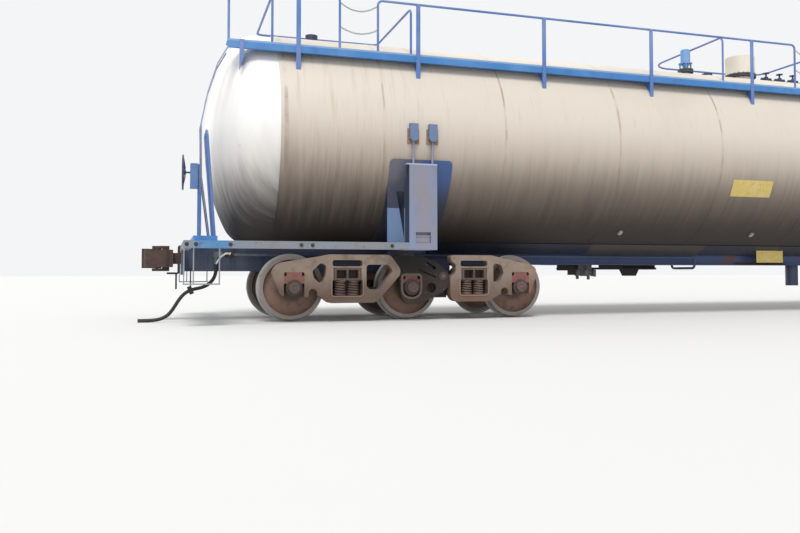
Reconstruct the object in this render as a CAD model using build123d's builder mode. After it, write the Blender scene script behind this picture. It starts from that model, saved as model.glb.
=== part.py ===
from build123d import *
import os
from math import asin, cos, degrees, radians, sin, sqrt, tan

# Insulated railway tank car on two articulated three-axle trucks, in millimetres.
# X runs along the car with the brake end at -X, the walkway side is -Y, and Z is up
# from the tips of the wheel flanges. Heights named _h are above the rail head.

# Layout of the car
jacket_half = 8870
truck_in = 1970
end_out = 1230
axle_spacing = 1714.5
wheel_r = 457.2
flange_h = 25.4
coupler_h = 876
coupler_reach = 540
car_half_width = 1600
seat_gap = 0.3

# Tank jacket and heads
jacket_r = 1570
belly_drop = 25
head_step = 12
head_flange = 220
head_crown_r = 2940
head_knuckle_r = 430

# Saddle plates round the tank over each truck
saddle_half = 460
saddle_t = 14
saddle_drop = 380
saddle_corner_r = 60

# Centre sill and draft sills
sill_bottom_h = 795
sill_half_w = 180
sill_flange_half_w = 240
sill_web_t = 16
sill_joint = 900
draft_bottom_h = 690
striker_t = 45
striker_half_w = 330
striker_bottom_h = 640
striker_top_h = 1045

# Body bolsters, columns and tie rods
column_w = 410
column_d = 120
column_bottom_h = 985
column_drop = 440
column_cap_t = 22
column_cap_lip = 40
recess_w = 220
recess_tall = 150
recess_deep = 60
recess_h = 1080
bolster_foot = 120
bolster_slope_end = 320
tie_rod_r = 16
tie_rod_set_in = 4
tie_rod_offset = 140
tie_block_drop = 130
tie_block_tall = 150
tie_block_w = 80
tie_block_d = 65
gusset_w = 260
gusset_drop = 750
gusset_t = 14
centre_plate_r = 195
centre_plate_clear = 5

# Side sills, end sill, platform and corner steps
sill_band = 100
side_sill_w = 110
side_sill_t = 10
end_sill_w = 100
platform_len = 300
platform_t = 60
platform_set_in = 120
platform_side = 20
step_len = 454
step_bottom_h = 515
step_bar_w = 60
step_bar_t = 14
step_middle_x = 118
step_tread_d = 250

# Walkway, stanchions and handrails
walkway_rise = 1170
walkway_depth = 115
walkway_out_y = 1330
walkway_out = 690
channel_w = 50
channel_t = 8
grating_t = 30
stanchion_w = 62
stanchion_t = 12
stanchion_foot_rise = 800
handrail_tall = 730
rail_r = 17
gate_gap = 550
guard_y = 870
rail_bend_r = 70
guard_bend_r = 90
guard_foot = 60
walkway_inner_lap = 40
bracket_t = 14
stanchion_xs = (1070, 3010, 4890, 6890)
stanchion_end_in = 260
head_bracket_out = 500
head_bracket_rise = 740
gate_end_in = 840
gate_middle_start = -160
guard_end_out = 70
guard_end_len = 2010
guard_post_r = 14
guard_middle_half = 1260
guard_middle_foot_y = 850
guard_middle_y = 1280
guard_middle_over = 170
guard_middle_bend_r = 400

# Ladders and end rails
ladder_w = 400
ladder_out_y = 1345
ladder_knees = ((410, 820), (290, 440), (205, 0), (215, -700))
ladder_foot_in = 320
ladder_bar = 16
ladder_bar_t = 50
rung_r = 10
rung_pitch = 385

# Trucks
frame_in_y = 920
frame_t = 165
arm_t = 120
frame_top_h = 925
frame_bottom_h = 240
casting_corner_r = 120
eye_corner_r = 50
window_x = 960.5
window_w = 440
window_r = 35
window_bottom_h = 340
window_top_h = 738
window_lip = 18
window_lip_t = 10
beam_gap = 11
notch_x = 1452
notch_h = 380
notch_r = 62
pedestal_w = 285
pedestal_r = 25
pedestal_top_h = 675
pedestal_bottom_h = 327
truck_beam_w = 380
truck_beam_under_h = 560
truck_beam_mid_top_h = 650
truck_beam_end_top_h = 735
truck_beam_slope = 150
beam_pocket_w = 145
beam_pocket_tall = 118
beam_pocket_deep = 150
beam_pocket_rib = 25
truck_span_half_w = 230
bowl_rim = 30
bowl_rim_h = 22
truck_beam_rise_y = 450
slot_h = 802
slot_w = 430
slot_tall = 88
arm_window_w = 260
arm_window_top_h = 625
arm_window_bottom_h = 315
arm_window_top_r = 30
arm_window_low_r = 115
arm_rim = 30
arm_rim_t = 12
arm_hole_x = 304
arm_hole_h = 448
arm_hole_r = 72
arm_slot_x = 290
arm_slot_h = 768
arm_slot_len = 185
arm_slot_w = 48
arm_slot_tilt = -28
arm_groove_x = 240
arm_groove_h = 655
arm_groove_len = 300
arm_groove_w = 26
arm_groove_deep = 30
arm_groove_tilt = -22
arm_pin_x = 484
arm_pin_h = 615
arm_pin_r = 26
arm_boss_r = 62
adapter_rise = 60
adapter_ear_w = 38
adapter_ear_h = 52
spring_r = 70
spring_pitch = 190
spring_rows = (1005, 855)
spring_seat_t = 20
bearing_r = 115
bearing_len = 170
journal_r = 82.5
journal_clear = 0.08
cap_r = 78
cap_t = 30
cap_gap = 5
journal_end = 10

# Brake beams and shoes of the trucks
shoe_beam_in_x = 620
shoe_beam_out_x = 1195
shoe_beam_w = 50
shoe_beam_h = 340
shoe_beam_tall = 70
shoe_over = 45
shoe_w = 80
shoe_gap = 8

# Wheelsets
flange_back_y = 677
rim_w = 145
flange_t = 32
rim_t = 60
plate_t = 28
plate_set_in = 45
plate_dish = 75
tread_fall = 6
hub_r = 135
hub_in_y = 668
hub_w = 178
axle_r = 88
axle_seat_r = 108

# Couplers, measured outward from the end sill's face
coupler_pivot_in = 150
pivot_pin_r = 32
shank_half_w = 65
shank_half_h = 80
shank_clear = 5
pocket_half_w = 140
pocket_over = 110
horn_out = 110
horn_t = 50
horn_half_w = 165
head_out = 262
head_half_w = 190
head_half_h = 125
knuckle_out = 335
knuckle_side = 118
knuckle_hub_r = 66
knuckle_half_h = 140
knuckle_pin_r = 21
knuckle_nose_t = 95
lug_t = 40
lug_gap = 3
pin_clear = 0.5
knuckle_nose_end = -15
guard_t = 62

# Fittings on the top and the bottom of the tank
manway_x = -195
manway_r = 258
manway_tall = 433
manway_neck_r = 215
manway_flange_r = 275
manway_flange_h = 50
manway_flange_t = 28
manway_joint = 6
well_x = -930
well_r = 95
well_tall = 85
valve_x = -1390
valve_cap_r = 85
valve_cap_tall = 245
valve_cap_edge = 14
valve_stem_r = 52
valve_neck_r = 88
valve_flange_r = 137
valve_flange_h = 65
valve_flange_t = 32
valve_tall = 490
lantern_r = 120
lantern_t = 16
lantern_bar_r = 9
top_seat = 60
outlet_x = 900
outlet_r = 110
outlet_bottom_h = 420

# Valves and flanged fittings beside the manway
cluster_x = 700
cluster_len = 900
cluster_w = 260
cluster_h = 40
cluster_step = 310
cluster_valve_r = 38
cluster_valve_h = 90
cluster_stem_r = 16
cluster_stem_h = 165
cluster_wheel_r = 62
cluster_wheel_t = 14
cluster_branch_r = 30
cluster_branch_len = 210
fitting_x = -8200
fitting_r = 95
fitting_h = 130

# Hand brake on the brake end's platform
brake_y = 750
brake_wheel_r = 280
brake_wheel_h = 2230
brake_wheel_rim_r = 13
brake_wheel_out = 30
brake_box_w = 230
brake_box_d = 110
brake_box_in = 140
brake_box_tall = 380
brake_box_drop = 55
brake_post_w = 90
brake_post_d = 60

# End rail, brake pipe, hose support and uncoupling lever
end_rail_top_h = 2560
end_rail_y = 1300
end_rail_w = 560
end_rail_lean = 110
end_rail_bend_r = 90
pipe_r = 21
pipe_y = 330
pipe_h = 930
pipe_clear = 10
pipe_end_in = 560
pipe_cross_x = -1500
pipe_cross_h = 740
pipe_bend_r = 70
pipe_clip_w = 40
cock_r = 42
cock_len = 120
cock_drop = 135
pipe_clips = (3000, 5200, 8200)
lever_r = 14
lever_drop = 215
lever_out = 45
lever_bend_r = 60
lever_handle_y = 1450
lever_handle_len = 260
lever_reach = 150
lever_bracket_ys = (1250, 560)

# Brake equipment under the tank on the +Y side
reservoir_x = -3500
reservoir_len = 1000
reservoir_r = 165
reservoir_y = 600
cylinder_x = -1900
cylinder_len = 520
cylinder_r = 125
cylinder_y = 480
control_x = -2500
control_size = 260
gear_h = 960

# Air hoses: radius, and the route outward from the end sill's face and up from the floor
hose_r = 25
hose_steps = (
    (0, 685),
    (61, 565),
    (170, 486),
    (357, 453),
    (480, 367),
    (617, 129),
    (721, 53),
    (848, 26),
    (948, 26),
)
clamp_at = 0.43
clamp_w = 90
clamp_tall = 115
clamp_long = 60
clamp_clear = 4
clamp_bar = 18
gladhand_len = 110

# Worked out from the sizes above
rail_z = flange_h
axle_z = rail_z + wheel_r
truck_x = jacket_half - truck_in
end_x = jacket_half + end_out
walkway_half = jacket_half + walkway_out
tank_seat_r = jacket_r + seat_gap
saddle_r = tank_seat_r + saddle_t
saddle_seat_r = saddle_r + seat_gap
draft_z = rail_z + draft_bottom_h
coupler_z = rail_z + coupler_h
sill_band_z = rail_z + column_bottom_h
sill_top_z = sill_band_z + sill_band
tank_bottom_z = sill_top_z - belly_drop
tank_z = tank_bottom_z + jacket_r
platform_z = sill_top_z + platform_t
column_in_y = car_half_width - column_d
walkway_z = tank_z + walkway_rise
handrail_z = walkway_z + handrail_tall
pivot_x = end_x - coupler_pivot_in
nose_x = end_x + coupler_reach
sides = (-1, 1)
axle_xs = (-axle_spacing, 0, axle_spacing)


def tank_height(y):
    """Height of the top of the jacket at y."""
    return tank_z + sqrt(jacket_r**2 - y**2)


def outline(points, mode=Mode.ADD):
    """Face inside straight edges through the points."""
    Polygon(*points, align=None, mode=mode)


def block(low, high, mode=Mode.ADD):
    """Rectangular bar between two corners."""
    size = [h - l for l, h in zip(low, high)]
    middle = tuple((l + h) / 2 for l, h in zip(low, high))
    with Locations(middle):
        Box(*size, mode=mode)


def corner_radii(points, largest=None, closed=False):
    """Arc for each corner of a line of points: as large as its sides leave room for."""
    if closed:
        points = [points[-1], *points, points[0]]
    radii = []
    for before, at, after in zip(points, points[1:], points[2:]):
        first = Vector(*at) - Vector(*before)
        second = Vector(*after) - Vector(*at)
        turn = first.get_angle(second)
        radius = 0.45 * min(first.length, second.length) / tan(radians(turn / 2))
        radii.append(min(radius, largest) if largest else radius)
    return radii


def rounded(points, radius, mode=Mode.ADD):
    """Face inside straight edges through the points, with its corners rounded."""
    with BuildLine() as edge:
        FilletPolyline(*points, radius=corner_radii(points, radius, True), close=True)
    make_face(edge.line.edges(), mode=mode)


def round_bar(start, end, radius):
    """Straight round bar from start to end."""
    line = Vector(*end) - Vector(*start)
    with Locations(Plane(origin=start, z_dir=line)):
        Cylinder(radius, line.length, align=(Align.CENTER, Align.CENTER, Align.MIN))


def bent_bar(points, radius, bend):
    """Round bar along straight runs with rounded corners."""
    with BuildLine() as run:
        FilletPolyline(*points, radius=bend)
    with BuildSketch(Plane(origin=run.line @ 0, z_dir=run.line % 0)) as section:
        Circle(radius)
    sweep(section.sketch, path=run.line)


def block_across(side, corner, opposite, low_z, tall, mode=Mode.ADD):
    """Rectangular bar from (x, y) to (x, y), on the +Y or -Y side of the car."""
    ys = sorted((side * corner[1], side * opposite[1]))
    block((corner[0], ys[0], low_z), (opposite[0], ys[1], low_z + tall), mode)


def truck_plane(y):
    """Plane of a side casting's back face, x from the truck's middle, up from the rail."""
    return Plane(origin=(-truck_x, -y, rail_z), x_dir=(1, 0, 0), z_dir=(0, -1, 0))


def coupler_plane(top):
    """Plane of a top face in the coupler, x out from the end sill's face, y to the knuckle.

    It is extruded downward.
    """
    return Plane(origin=(-end_x, 0, coupler_z + top), x_dir=(-1, 0, 0), z_dir=(0, 0, -1))


def cut_tank(radius):
    """Take away the room of the tank, heads included."""
    with Locations(Plane(origin=(0, 0, tank_z), z_dir=(1, 0, 0))):
        Cylinder(radius, 2 * end_x, mode=Mode.SUBTRACT)


# Tank
with BuildPart() as tank_jacket:
    with BuildSketch(Plane.YZ.offset(-jacket_half)):
        with Locations((0, tank_z)):
            Circle(jacket_r)
    extrude(amount=2 * jacket_half)

head_r = jacket_r - head_step
crown_reach = sqrt((head_crown_r - head_knuckle_r) ** 2 - (head_r - head_knuckle_r) ** 2)
crown_x = jacket_half + head_flange - crown_reach
crown_angle = degrees(asin((head_r - head_knuckle_r) / (head_crown_r - head_knuckle_r)))
head_tip_x = crown_x + head_crown_r

with BuildPart() as tank_head_a:
    with BuildSketch(Plane.XZ):
        with BuildLine():
            knuckle_centre = (jacket_half + head_flange, tank_z + head_r - head_knuckle_r)
            knuckle = CenterArc(knuckle_centre, head_knuckle_r, crown_angle, 90 - crown_angle)
            CenterArc((crown_x, tank_z), head_crown_r, 0, crown_angle)
            Polyline(
                knuckle @ 1,
                (jacket_half, tank_z + head_r),
                (jacket_half, tank_z),
                (head_tip_x, tank_z),
            )
        make_face()
    revolve(axis=Axis((0, 0, tank_z), (1, 0, 0)))

with BuildPart() as tank_head_b:
    mirror(tank_head_a.part, about=Plane.YZ)

# Saddles: wrap plates under the tank with rounded upper corners, and gusset plates
# between the wrap plate, the side sill and the column, with a slanted opening
gusset_out_x = -truck_x - column_w / 2 - gusset_w
gusset_in_x = -truck_x - column_w / 2
gusset_y = sqrt(saddle_r**2 - gusset_drop**2) - gusset_t / 2

with BuildPart() as saddle_b:
    with BuildSketch(Plane.YZ.offset(-truck_x - saddle_half)):
        with Locations((0, tank_z)):
            Circle(saddle_r)
            Circle(tank_seat_r, mode=Mode.SUBTRACT)
    extrude(amount=2 * saddle_half)
    with BuildSketch(Plane.XZ):
        with Locations((-truck_x, tank_z - saddle_drop - jacket_r)):
            RectangleRounded(2 * saddle_half, 2 * jacket_r, saddle_corner_r)
    extrude(amount=2 * jacket_r, both=True, mode=Mode.INTERSECT)
    for side in sides:
        gusset_plane = Plane(
            origin=(0, side * gusset_y, 0), x_dir=(1, 0, 0), z_dir=(0, -1, 0)
        )
        with BuildSketch(gusset_plane):
            outline(
                [
                    (gusset_out_x, sill_top_z),
                    (gusset_in_x, sill_top_z),
                    (gusset_in_x, tank_z - gusset_drop),
                    (gusset_out_x, tank_z - gusset_drop),
                ]
            )
            outline(
                [
                    (gusset_in_x - 12, sill_top_z + 50),
                    (gusset_in_x - 12, tank_z - gusset_drop - 70),
                    (gusset_in_x - 130, tank_z - gusset_drop - 70),
                ],
                Mode.SUBTRACT,
            )
        extrude(amount=gusset_t / 2, both=True)
    cut_tank(tank_seat_r)

# Centre sill: two webs, a top plate and turned-out bottom flanges
sill_end_x = truck_x - sill_joint
sill_inside_h = tank_bottom_z - rail_z - sill_bottom_h - 2 * sill_web_t

with BuildPart() as centre_sill:
    with BuildSketch(Plane.YZ.offset(-sill_end_x)):
        with Locations((0, rail_z + sill_bottom_h)):
            Rectangle(2 * sill_half_w, jacket_r, align=(Align.CENTER, Align.MIN))
            Rectangle(2 * sill_flange_half_w, sill_web_t, align=(Align.CENTER, Align.MIN))
            Rectangle(
                2 * (sill_half_w - sill_web_t),
                sill_inside_h,
                align=(Align.CENTER, Align.MIN),
                mode=Mode.SUBTRACT,
            )
        with Locations((0, tank_z)):
            Circle(tank_seat_r, mode=Mode.SUBTRACT)
            Rectangle(
                2 * jacket_r,
                2 * jacket_r,
                align=(Align.CENTER, Align.MIN),
                mode=Mode.SUBTRACT,
            )
    extrude(amount=2 * sill_end_x)

# Draft sill: the deep stub out to the striker, open at its end for the coupler's shank,
# with the coupler's pivot pin and the body centre plate under the bolster
pocket_bottom_z = coupler_z - shank_half_h - shank_clear
pocket_tall = shank_half_h + shank_clear + pocket_over

with BuildPart() as draft_sill_b:
    block(
        (-end_x, -sill_half_w, draft_z),
        (-sill_end_x, sill_half_w, tank_bottom_z + saddle_t),
    )
    block(
        (-end_x, -striker_half_w, rail_z + striker_bottom_h),
        (-end_x + striker_t, striker_half_w, rail_z + striker_top_h),
    )
    with BuildSketch(Plane.YZ.offset(-end_x)):
        with Locations((0, pocket_bottom_z)):
            Rectangle(2 * pocket_half_w, pocket_tall, align=(Align.CENTER, Align.MIN))
    extrude(amount=coupler_pivot_in + pocket_half_w, mode=Mode.SUBTRACT)
    with BuildSketch(Plane.XY.offset(pocket_bottom_z)):
        with Locations((-pivot_x, 0)):
            Circle(pivot_pin_r)
    extrude(amount=pocket_tall)
    with BuildSketch(Plane.XY.offset(rail_z + truck_beam_mid_top_h + seat_gap)):
        with Locations((-truck_x, 0)):
            Circle(centre_plate_r)
    extrude(amount=draft_bottom_h - truck_beam_mid_top_h - seat_gap)
    cut_tank(tank_seat_r)
    with Locations(Plane(origin=(-truck_x, 0, tank_z), z_dir=(1, 0, 0))):
        Cylinder(saddle_seat_r, 2 * (saddle_half + seat_gap), mode=Mode.SUBTRACT)

# Body bolsters: box arms from the draft sill out to the columns, under the saddle, and
# the columns at their ends with a cap that overhangs outward
with BuildPart() as body_bolster_b:
    for side in sides:
        with BuildSketch(Plane.YZ.offset(-truck_x - column_w / 2)):
            outline(
                [
                    (side * sill_half_w, draft_z),
                    (side * (sill_half_w + bolster_foot), draft_z),
                    (side * (sill_half_w + bolster_slope_end), sill_band_z),
                    (side * car_half_width, sill_band_z),
                    (side * car_half_width, tank_z - column_drop),
                    (side * sill_half_w, tank_z - column_drop),
                ]
            )
            with Locations((side * pipe_y, rail_z + pipe_h)):
                Circle(pipe_r + pipe_clear, mode=Mode.SUBTRACT)
        extrude(amount=column_w)
        block_across(
            side,
            (-truck_x - column_w / 2 - column_cap_lip, column_in_y),
            (-truck_x - column_w / 2, car_half_width),
            tank_z - column_drop - column_cap_t,
            column_cap_t,
        )
        block_across(
            side,
            (-truck_x - recess_w / 2, car_half_width - recess_deep),
            (-truck_x + recess_w / 2, car_half_width),
            rail_z + recess_h,
            recess_tall,
            Mode.SUBTRACT,
        )
    cut_tank(saddle_seat_r)

# Tie rods from the column caps up to blocks on the tank
rod_y = car_half_width - tie_rod_r - tie_rod_set_in
with BuildPart() as tie_rods_b:
    for side in sides:
        for dx in (-tie_rod_offset, tie_rod_offset):
            round_bar(
                (-truck_x + dx, side * rod_y, tank_z - column_drop),
                (-truck_x + dx, side * rod_y, tank_z - tie_block_drop),
                tie_rod_r,
            )
            block_across(
                side,
                (-truck_x + dx - tie_block_w / 2, jacket_r - tie_block_d),
                (-truck_x + dx + tie_block_w / 2, jacket_r + tie_block_d),
                tank_z - tie_block_drop,
                tie_block_tall,
            )
    cut_tank(tank_seat_r)

# End frame: channel side sills back to the columns, and the end sill between them
with BuildPart() as end_frame_b:
    for side in sides:
        with BuildSketch(Plane.YZ.offset(-end_x)):
            with Locations((side * (car_half_width - side_sill_w / 2), sill_band_z)):
                Rectangle(side_sill_w, sill_band, align=(Align.CENTER, Align.MIN))
            inner_y = side * (car_half_width - side_sill_w / 2 - side_sill_t)
            with Locations((inner_y, sill_band_z + side_sill_t)):
                Rectangle(
                    side_sill_w,
                    sill_band - 2 * side_sill_t,
                    align=(Align.CENTER, Align.MIN),
                    mode=Mode.SUBTRACT,
                )
        extrude(amount=end_x - truck_x - column_w / 2)
        block_across(
            side,
            (-end_x, striker_half_w),
            (-end_x + end_sill_w, car_half_width - side_sill_w),
            sill_band_z,
            sill_band,
        )

# End platform
platform_x = -end_x + platform_set_in
with BuildPart() as end_platform_b:
    block(
        (platform_x, -car_half_width + platform_side, sill_top_z),
        (platform_x + platform_len, car_half_width - platform_side, platform_z),
    )

# Corner steps: a tread hung under the side sill by three flat bars set edge on
with BuildPart() as corner_steps_b:
    for side in sides:
        for x in (0, step_middle_x, step_len - step_bar_t):
            block_across(
                side,
                (-end_x + x, car_half_width - step_bar_w),
                (-end_x + x + step_bar_t, car_half_width),
                rail_z + step_bottom_h,
                sill_band_z - rail_z - step_bottom_h,
            )
        block_across(
            side,
            (-end_x, car_half_width - step_tread_d),
            (-end_x + step_len, car_half_width),
            rail_z + step_bottom_h,
            step_bar_t,
        )

# Walkway along the -Y shoulder of the tank: an edge channel and a grating inside it
tank_side_y = sqrt(jacket_r**2 - walkway_rise**2)
inner_side_y = tank_side_y - walkway_inner_lap
with BuildPart() as walkway:
    with BuildSketch(Plane.YZ.offset(-walkway_half)):
        with Locations((-walkway_out_y, walkway_z - walkway_depth)):
            Rectangle(channel_t, walkway_depth, align=(Align.MIN, Align.MIN))
            Rectangle(channel_w, channel_t, align=(Align.MIN, Align.MIN))
        with Locations((-walkway_out_y, walkway_z)):
            Rectangle(walkway_out_y - inner_side_y, grating_t, align=(Align.MIN, Align.MAX))
        with Locations((0, tank_z)):
            Circle(tank_seat_r, mode=Mode.SUBTRACT)
    extrude(amount=2 * walkway_half)

# Stanchions with their feet on the tank and their brackets under the walkway, and beyond
# them a bracket that tapers down to each head
stanchions = sorted(side * x for side in sides for x in (*stanchion_xs, jacket_half - stanchion_end_in))
with BuildPart() as stanchion_posts:
    for x in stanchions:
        block(
            (x - stanchion_w / 2, -walkway_out_y - stanchion_t, tank_z + stanchion_foot_rise),
            (x + stanchion_w / 2, -walkway_out_y, handrail_z),
        )
        with BuildSketch(Plane.YZ.offset(x - bracket_t / 2)):
            outline(
                [
                    (-walkway_out_y, walkway_z - walkway_depth),
                    (-walkway_out_y, tank_z + stanchion_foot_rise),
                    (-tank_side_y, tank_z + stanchion_foot_rise),
                    (-tank_side_y, walkway_z - walkway_depth),
                ]
            )
        extrude(amount=bracket_t)
    cut_tank(tank_seat_r)
    for side in sides:
        x = side * (jacket_half + head_bracket_out)
        with BuildSketch(Plane.XZ.offset(walkway_out_y)):
            outline(
                [
                    (x - stanchion_w / 2, walkway_z),
                    (x + stanchion_w / 2, walkway_z),
                    (x + stanchion_w / 2, walkway_z - 2 * walkway_depth),
                    (x + side * stanchion_w / 2, tank_z + head_bracket_rise),
                    (x - stanchion_w / 2, walkway_z - 2 * walkway_depth),
                ]
            )
        extrude(amount=stanchion_t)
        with BuildSketch(Plane.YZ.offset(x - bracket_t / 2)):
            outline(
                [
                    (-walkway_out_y, walkway_z - walkway_depth),
                    (-walkway_out_y, tank_z + head_bracket_rise + walkway_depth),
                    (-tank_side_y, tank_z + head_bracket_rise + walkway_depth),
                    (-tank_side_y, walkway_z - walkway_depth),
                ]
            )
        extrude(amount=bracket_t)
    add(tank_head_a.part, mode=Mode.SUBTRACT)
    add(tank_head_b.part, mode=Mode.SUBTRACT)

# Handrail in lengths between the gates, each with an end post on the walkway
rail_y = -walkway_out_y + rail_r + channel_t
rail_ends = [-walkway_half + rail_r]
gate_last_start = jacket_half - gate_end_in - gate_gap
for start in (gate_end_in - jacket_half, gate_middle_start, gate_last_start):
    rail_ends += [start, start + gate_gap]
rail_ends += [walkway_half - rail_r]
with BuildPart() as handrails:
    for start, stop in zip(rail_ends[::2], rail_ends[1::2]):
        bent_bar(
            [
                (start, rail_y, walkway_z),
                (start, rail_y, handrail_z),
                (stop, rail_y, handrail_z),
                (stop, rail_y, walkway_z),
            ],
            rail_r,
            rail_bend_r,
        )

# Guard rails over the top of the tank: low loops from the walkway across at the two ends,
# and a taller and wider one round the fittings
guard_out_x = jacket_half + guard_end_out
guard_in_x = guard_out_x - guard_end_len
guard_foot_y = tank_side_y + guard_foot
guard_middle_z = handrail_z + guard_middle_over
with BuildPart() as guard_rails:
    for start, stop, foot_y, far_y, top_z, far_bend_r in (
        (-guard_out_x, -guard_in_x, guard_foot_y, guard_y, handrail_z, guard_bend_r),
        (
            -guard_middle_half,
            guard_middle_half,
            guard_middle_foot_y,
            guard_middle_y,
            guard_middle_z,
            guard_middle_bend_r,
        ),
        (guard_in_x, guard_out_x, guard_foot_y, guard_y, handrail_z, guard_bend_r),
    ):
        bent_bar(
            [
                (start, -foot_y, walkway_z),
                (start, -foot_y, top_z),
                (start, far_y, top_z),
                (stop, far_y, top_z),
                (stop, -foot_y, top_z),
                (stop, -foot_y, walkway_z),
            ],
            rail_r,
            [guard_bend_r, far_bend_r, far_bend_r, guard_bend_r],
        )
        for x in (start + 2 * far_bend_r, stop - 2 * far_bend_r):
            round_bar((x, far_y, tank_z), (x, far_y, top_z), guard_post_r)
    cut_tank(tank_seat_r)

# Ladder that follows the head from the walkway down to the platform
ladder_line = [(-walkway_half, walkway_z - walkway_depth)]
ladder_line += [(-end_x + inset, tank_z + rise) for inset, rise in ladder_knees]
ladder_line += [(-end_x + ladder_foot_in, platform_z)]
with BuildPart() as ladder_b:
    for y in (-ladder_out_y, -ladder_out_y + ladder_w - ladder_bar_t):
        with BuildSketch(Plane(origin=(0, y, 0), x_dir=(1, 0, 0), z_dir=(0, -1, 0))):
            outline(ladder_line + [(x + ladder_bar, z) for x, z in reversed(ladder_line)])
        extrude(amount=-ladder_bar_t)
    with BuildLine(Plane.XZ) as rung_line:
        Polyline(*[(x + ladder_bar / 2, z) for x, z in ladder_line])
    rung_path = rung_line.wire()
    rungs = int((rung_path.length - rung_pitch / 2) / rung_pitch)
    for i in range(rungs):
        at = rung_path.position_at((i + 1) * rung_pitch / rung_path.length)
        round_bar(
            (at.X, -ladder_out_y, at.Z),
            (at.X, -ladder_out_y + ladder_w, at.Z),
            rung_r,
        )

# End rail: an inverted U beside the ladder that leans outward at the top
end_rail_x = platform_x + platform_len - 1.2 * rail_r
with BuildPart() as end_rail_b:
    bent_bar(
        [
            (end_rail_x, -end_rail_y, platform_z - rail_r),
            (end_rail_x - end_rail_lean, -end_rail_y, rail_z + end_rail_top_h),
            (end_rail_x - end_rail_lean, -end_rail_y + end_rail_w, rail_z + end_rail_top_h),
            (end_rail_x, -end_rail_y + end_rail_w, platform_z - rail_r),
        ],
        rail_r,
        end_rail_bend_r,
    )
    with Locations((end_rail_x, 0, platform_z)):
        Box(
            4 * rail_r,
            2 * car_half_width,
            2 * rail_r,
            align=(Align.CENTER, Align.CENTER, Align.MAX),
            mode=Mode.SUBTRACT,
        )

# Truck castings. Outlines are x from the truck's middle and height above the rail.
lead_outline = [
    (-1996, 582),
    (-2019, 666),
    (-1978, 752),
    (-1909, 807),
    (-1326, 903),
    (-1224, frame_top_h),
    (-332, frame_top_h),
    (-183, 725),
    (-183, 638),
    (-483, 302),
    (-558, frame_bottom_h),
    (-1223, frame_bottom_h),
    (-1368, 353),
    (-1510, 353),
    (-1530, pedestal_bottom_h),
    (-1880, pedestal_bottom_h),
]
trail_outline = [
    (585, frame_top_h),
    (1243, frame_top_h),
    (1408, 887),
    (1742, 820),
    (1947, 760),
    (1980, 705),
    (1963, 573),
    (1870, pedestal_bottom_h),
    (1530, pedestal_bottom_h),
    (1500, 361),
    (1408, 361),
    (1194, frame_bottom_h),
    (585, frame_bottom_h),
    (585, 600),
    (670, 660),
    (670, 800),
    (600, 830),
]
arm_outline = [
    (-332, frame_top_h),
    (180, 900),
    (392, 815),
    (565, 682),
    (585, 600),
    (585, 470),
    (486, 384),
    (125, 208),
    (-29, 203),
    (-123, 256),
    (-165, 404),
    (-183, 638),
    (-183, 725),
]
lead_kite = [(-1340, 809), (-1261, 767), (-1275, 624), (-1333, 496), (-1441, 595), (-1463, 696)]
lead_eye = [(-686, 783), (-360, 783), (-293, 700), (-500, 427), (-640, 427), (-686, 480)]
trail_eye = [(1269, 818), (1400, 780), (1440, 660), (1380, 540), (1269, 506)]

with BuildPart() as side_frames_b:
    for points, eyes, x_wheel, x_window, x_notch in (
        (lead_outline, (lead_kite, lead_eye), -axle_spacing, -window_x, -notch_x),
        (trail_outline, (trail_eye,), axle_spacing, window_x, notch_x),
    ):
        spring_room = truck_beam_under_h + beam_gap - window_bottom_h
        with BuildSketch(truck_plane(frame_in_y)):
            rounded(points, casting_corner_r)
            for eye in eyes:
                rounded(eye, eye_corner_r, Mode.SUBTRACT)
            with Locations((x_wheel, pedestal_top_h)):
                RectangleRounded(
                    pedestal_w,
                    2 * pedestal_top_h,
                    pedestal_r,
                    align=(Align.CENTER, Align.MAX),
                    mode=Mode.SUBTRACT,
                )
            with Locations((x_notch, notch_h)):
                Circle(notch_r, mode=Mode.SUBTRACT)
            with Locations((x_window, window_bottom_h)):
                RectangleRounded(
                    window_w,
                    spring_room,
                    window_r,
                    align=(Align.CENTER, Align.MIN),
                    mode=Mode.SUBTRACT,
                )
            with Locations((x_window, window_top_h)):
                Rectangle(
                    truck_beam_w + 2 * beam_gap,
                    window_top_h - truck_beam_under_h,
                    align=(Align.CENTER, Align.MAX),
                    mode=Mode.SUBTRACT,
                )
            with Locations((x_window, slot_h)):
                RectangleRounded(slot_w, slot_tall, slot_tall / 3, mode=Mode.SUBTRACT)
        extrude(amount=frame_t)
        with BuildSketch(truck_plane(frame_in_y + frame_t)):
            with Locations((x_window, window_bottom_h + spring_room / 2)):
                RectangleRounded(
                    window_w + 2 * window_lip,
                    spring_room + 2 * window_lip,
                    window_r + window_lip,
                )
                RectangleRounded(window_w, spring_room, window_r, mode=Mode.SUBTRACT)
            with Locations((x_window, window_top_h)):
                Rectangle(
                    window_w,
                    window_top_h - truck_beam_under_h,
                    align=(Align.CENTER, Align.MAX),
                    mode=Mode.SUBTRACT,
                )
        extrude(amount=window_lip_t)
        block(
            (
                -truck_x + x_window - window_w / 2,
                -frame_in_y,
                rail_z + window_bottom_h - spring_seat_t,
            ),
            (
                -truck_x + x_window + window_w / 2,
                -spring_rows[1] + spring_r,
                rail_z + window_bottom_h,
            ),
        )
    mirror(about=Plane.XZ)

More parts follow.
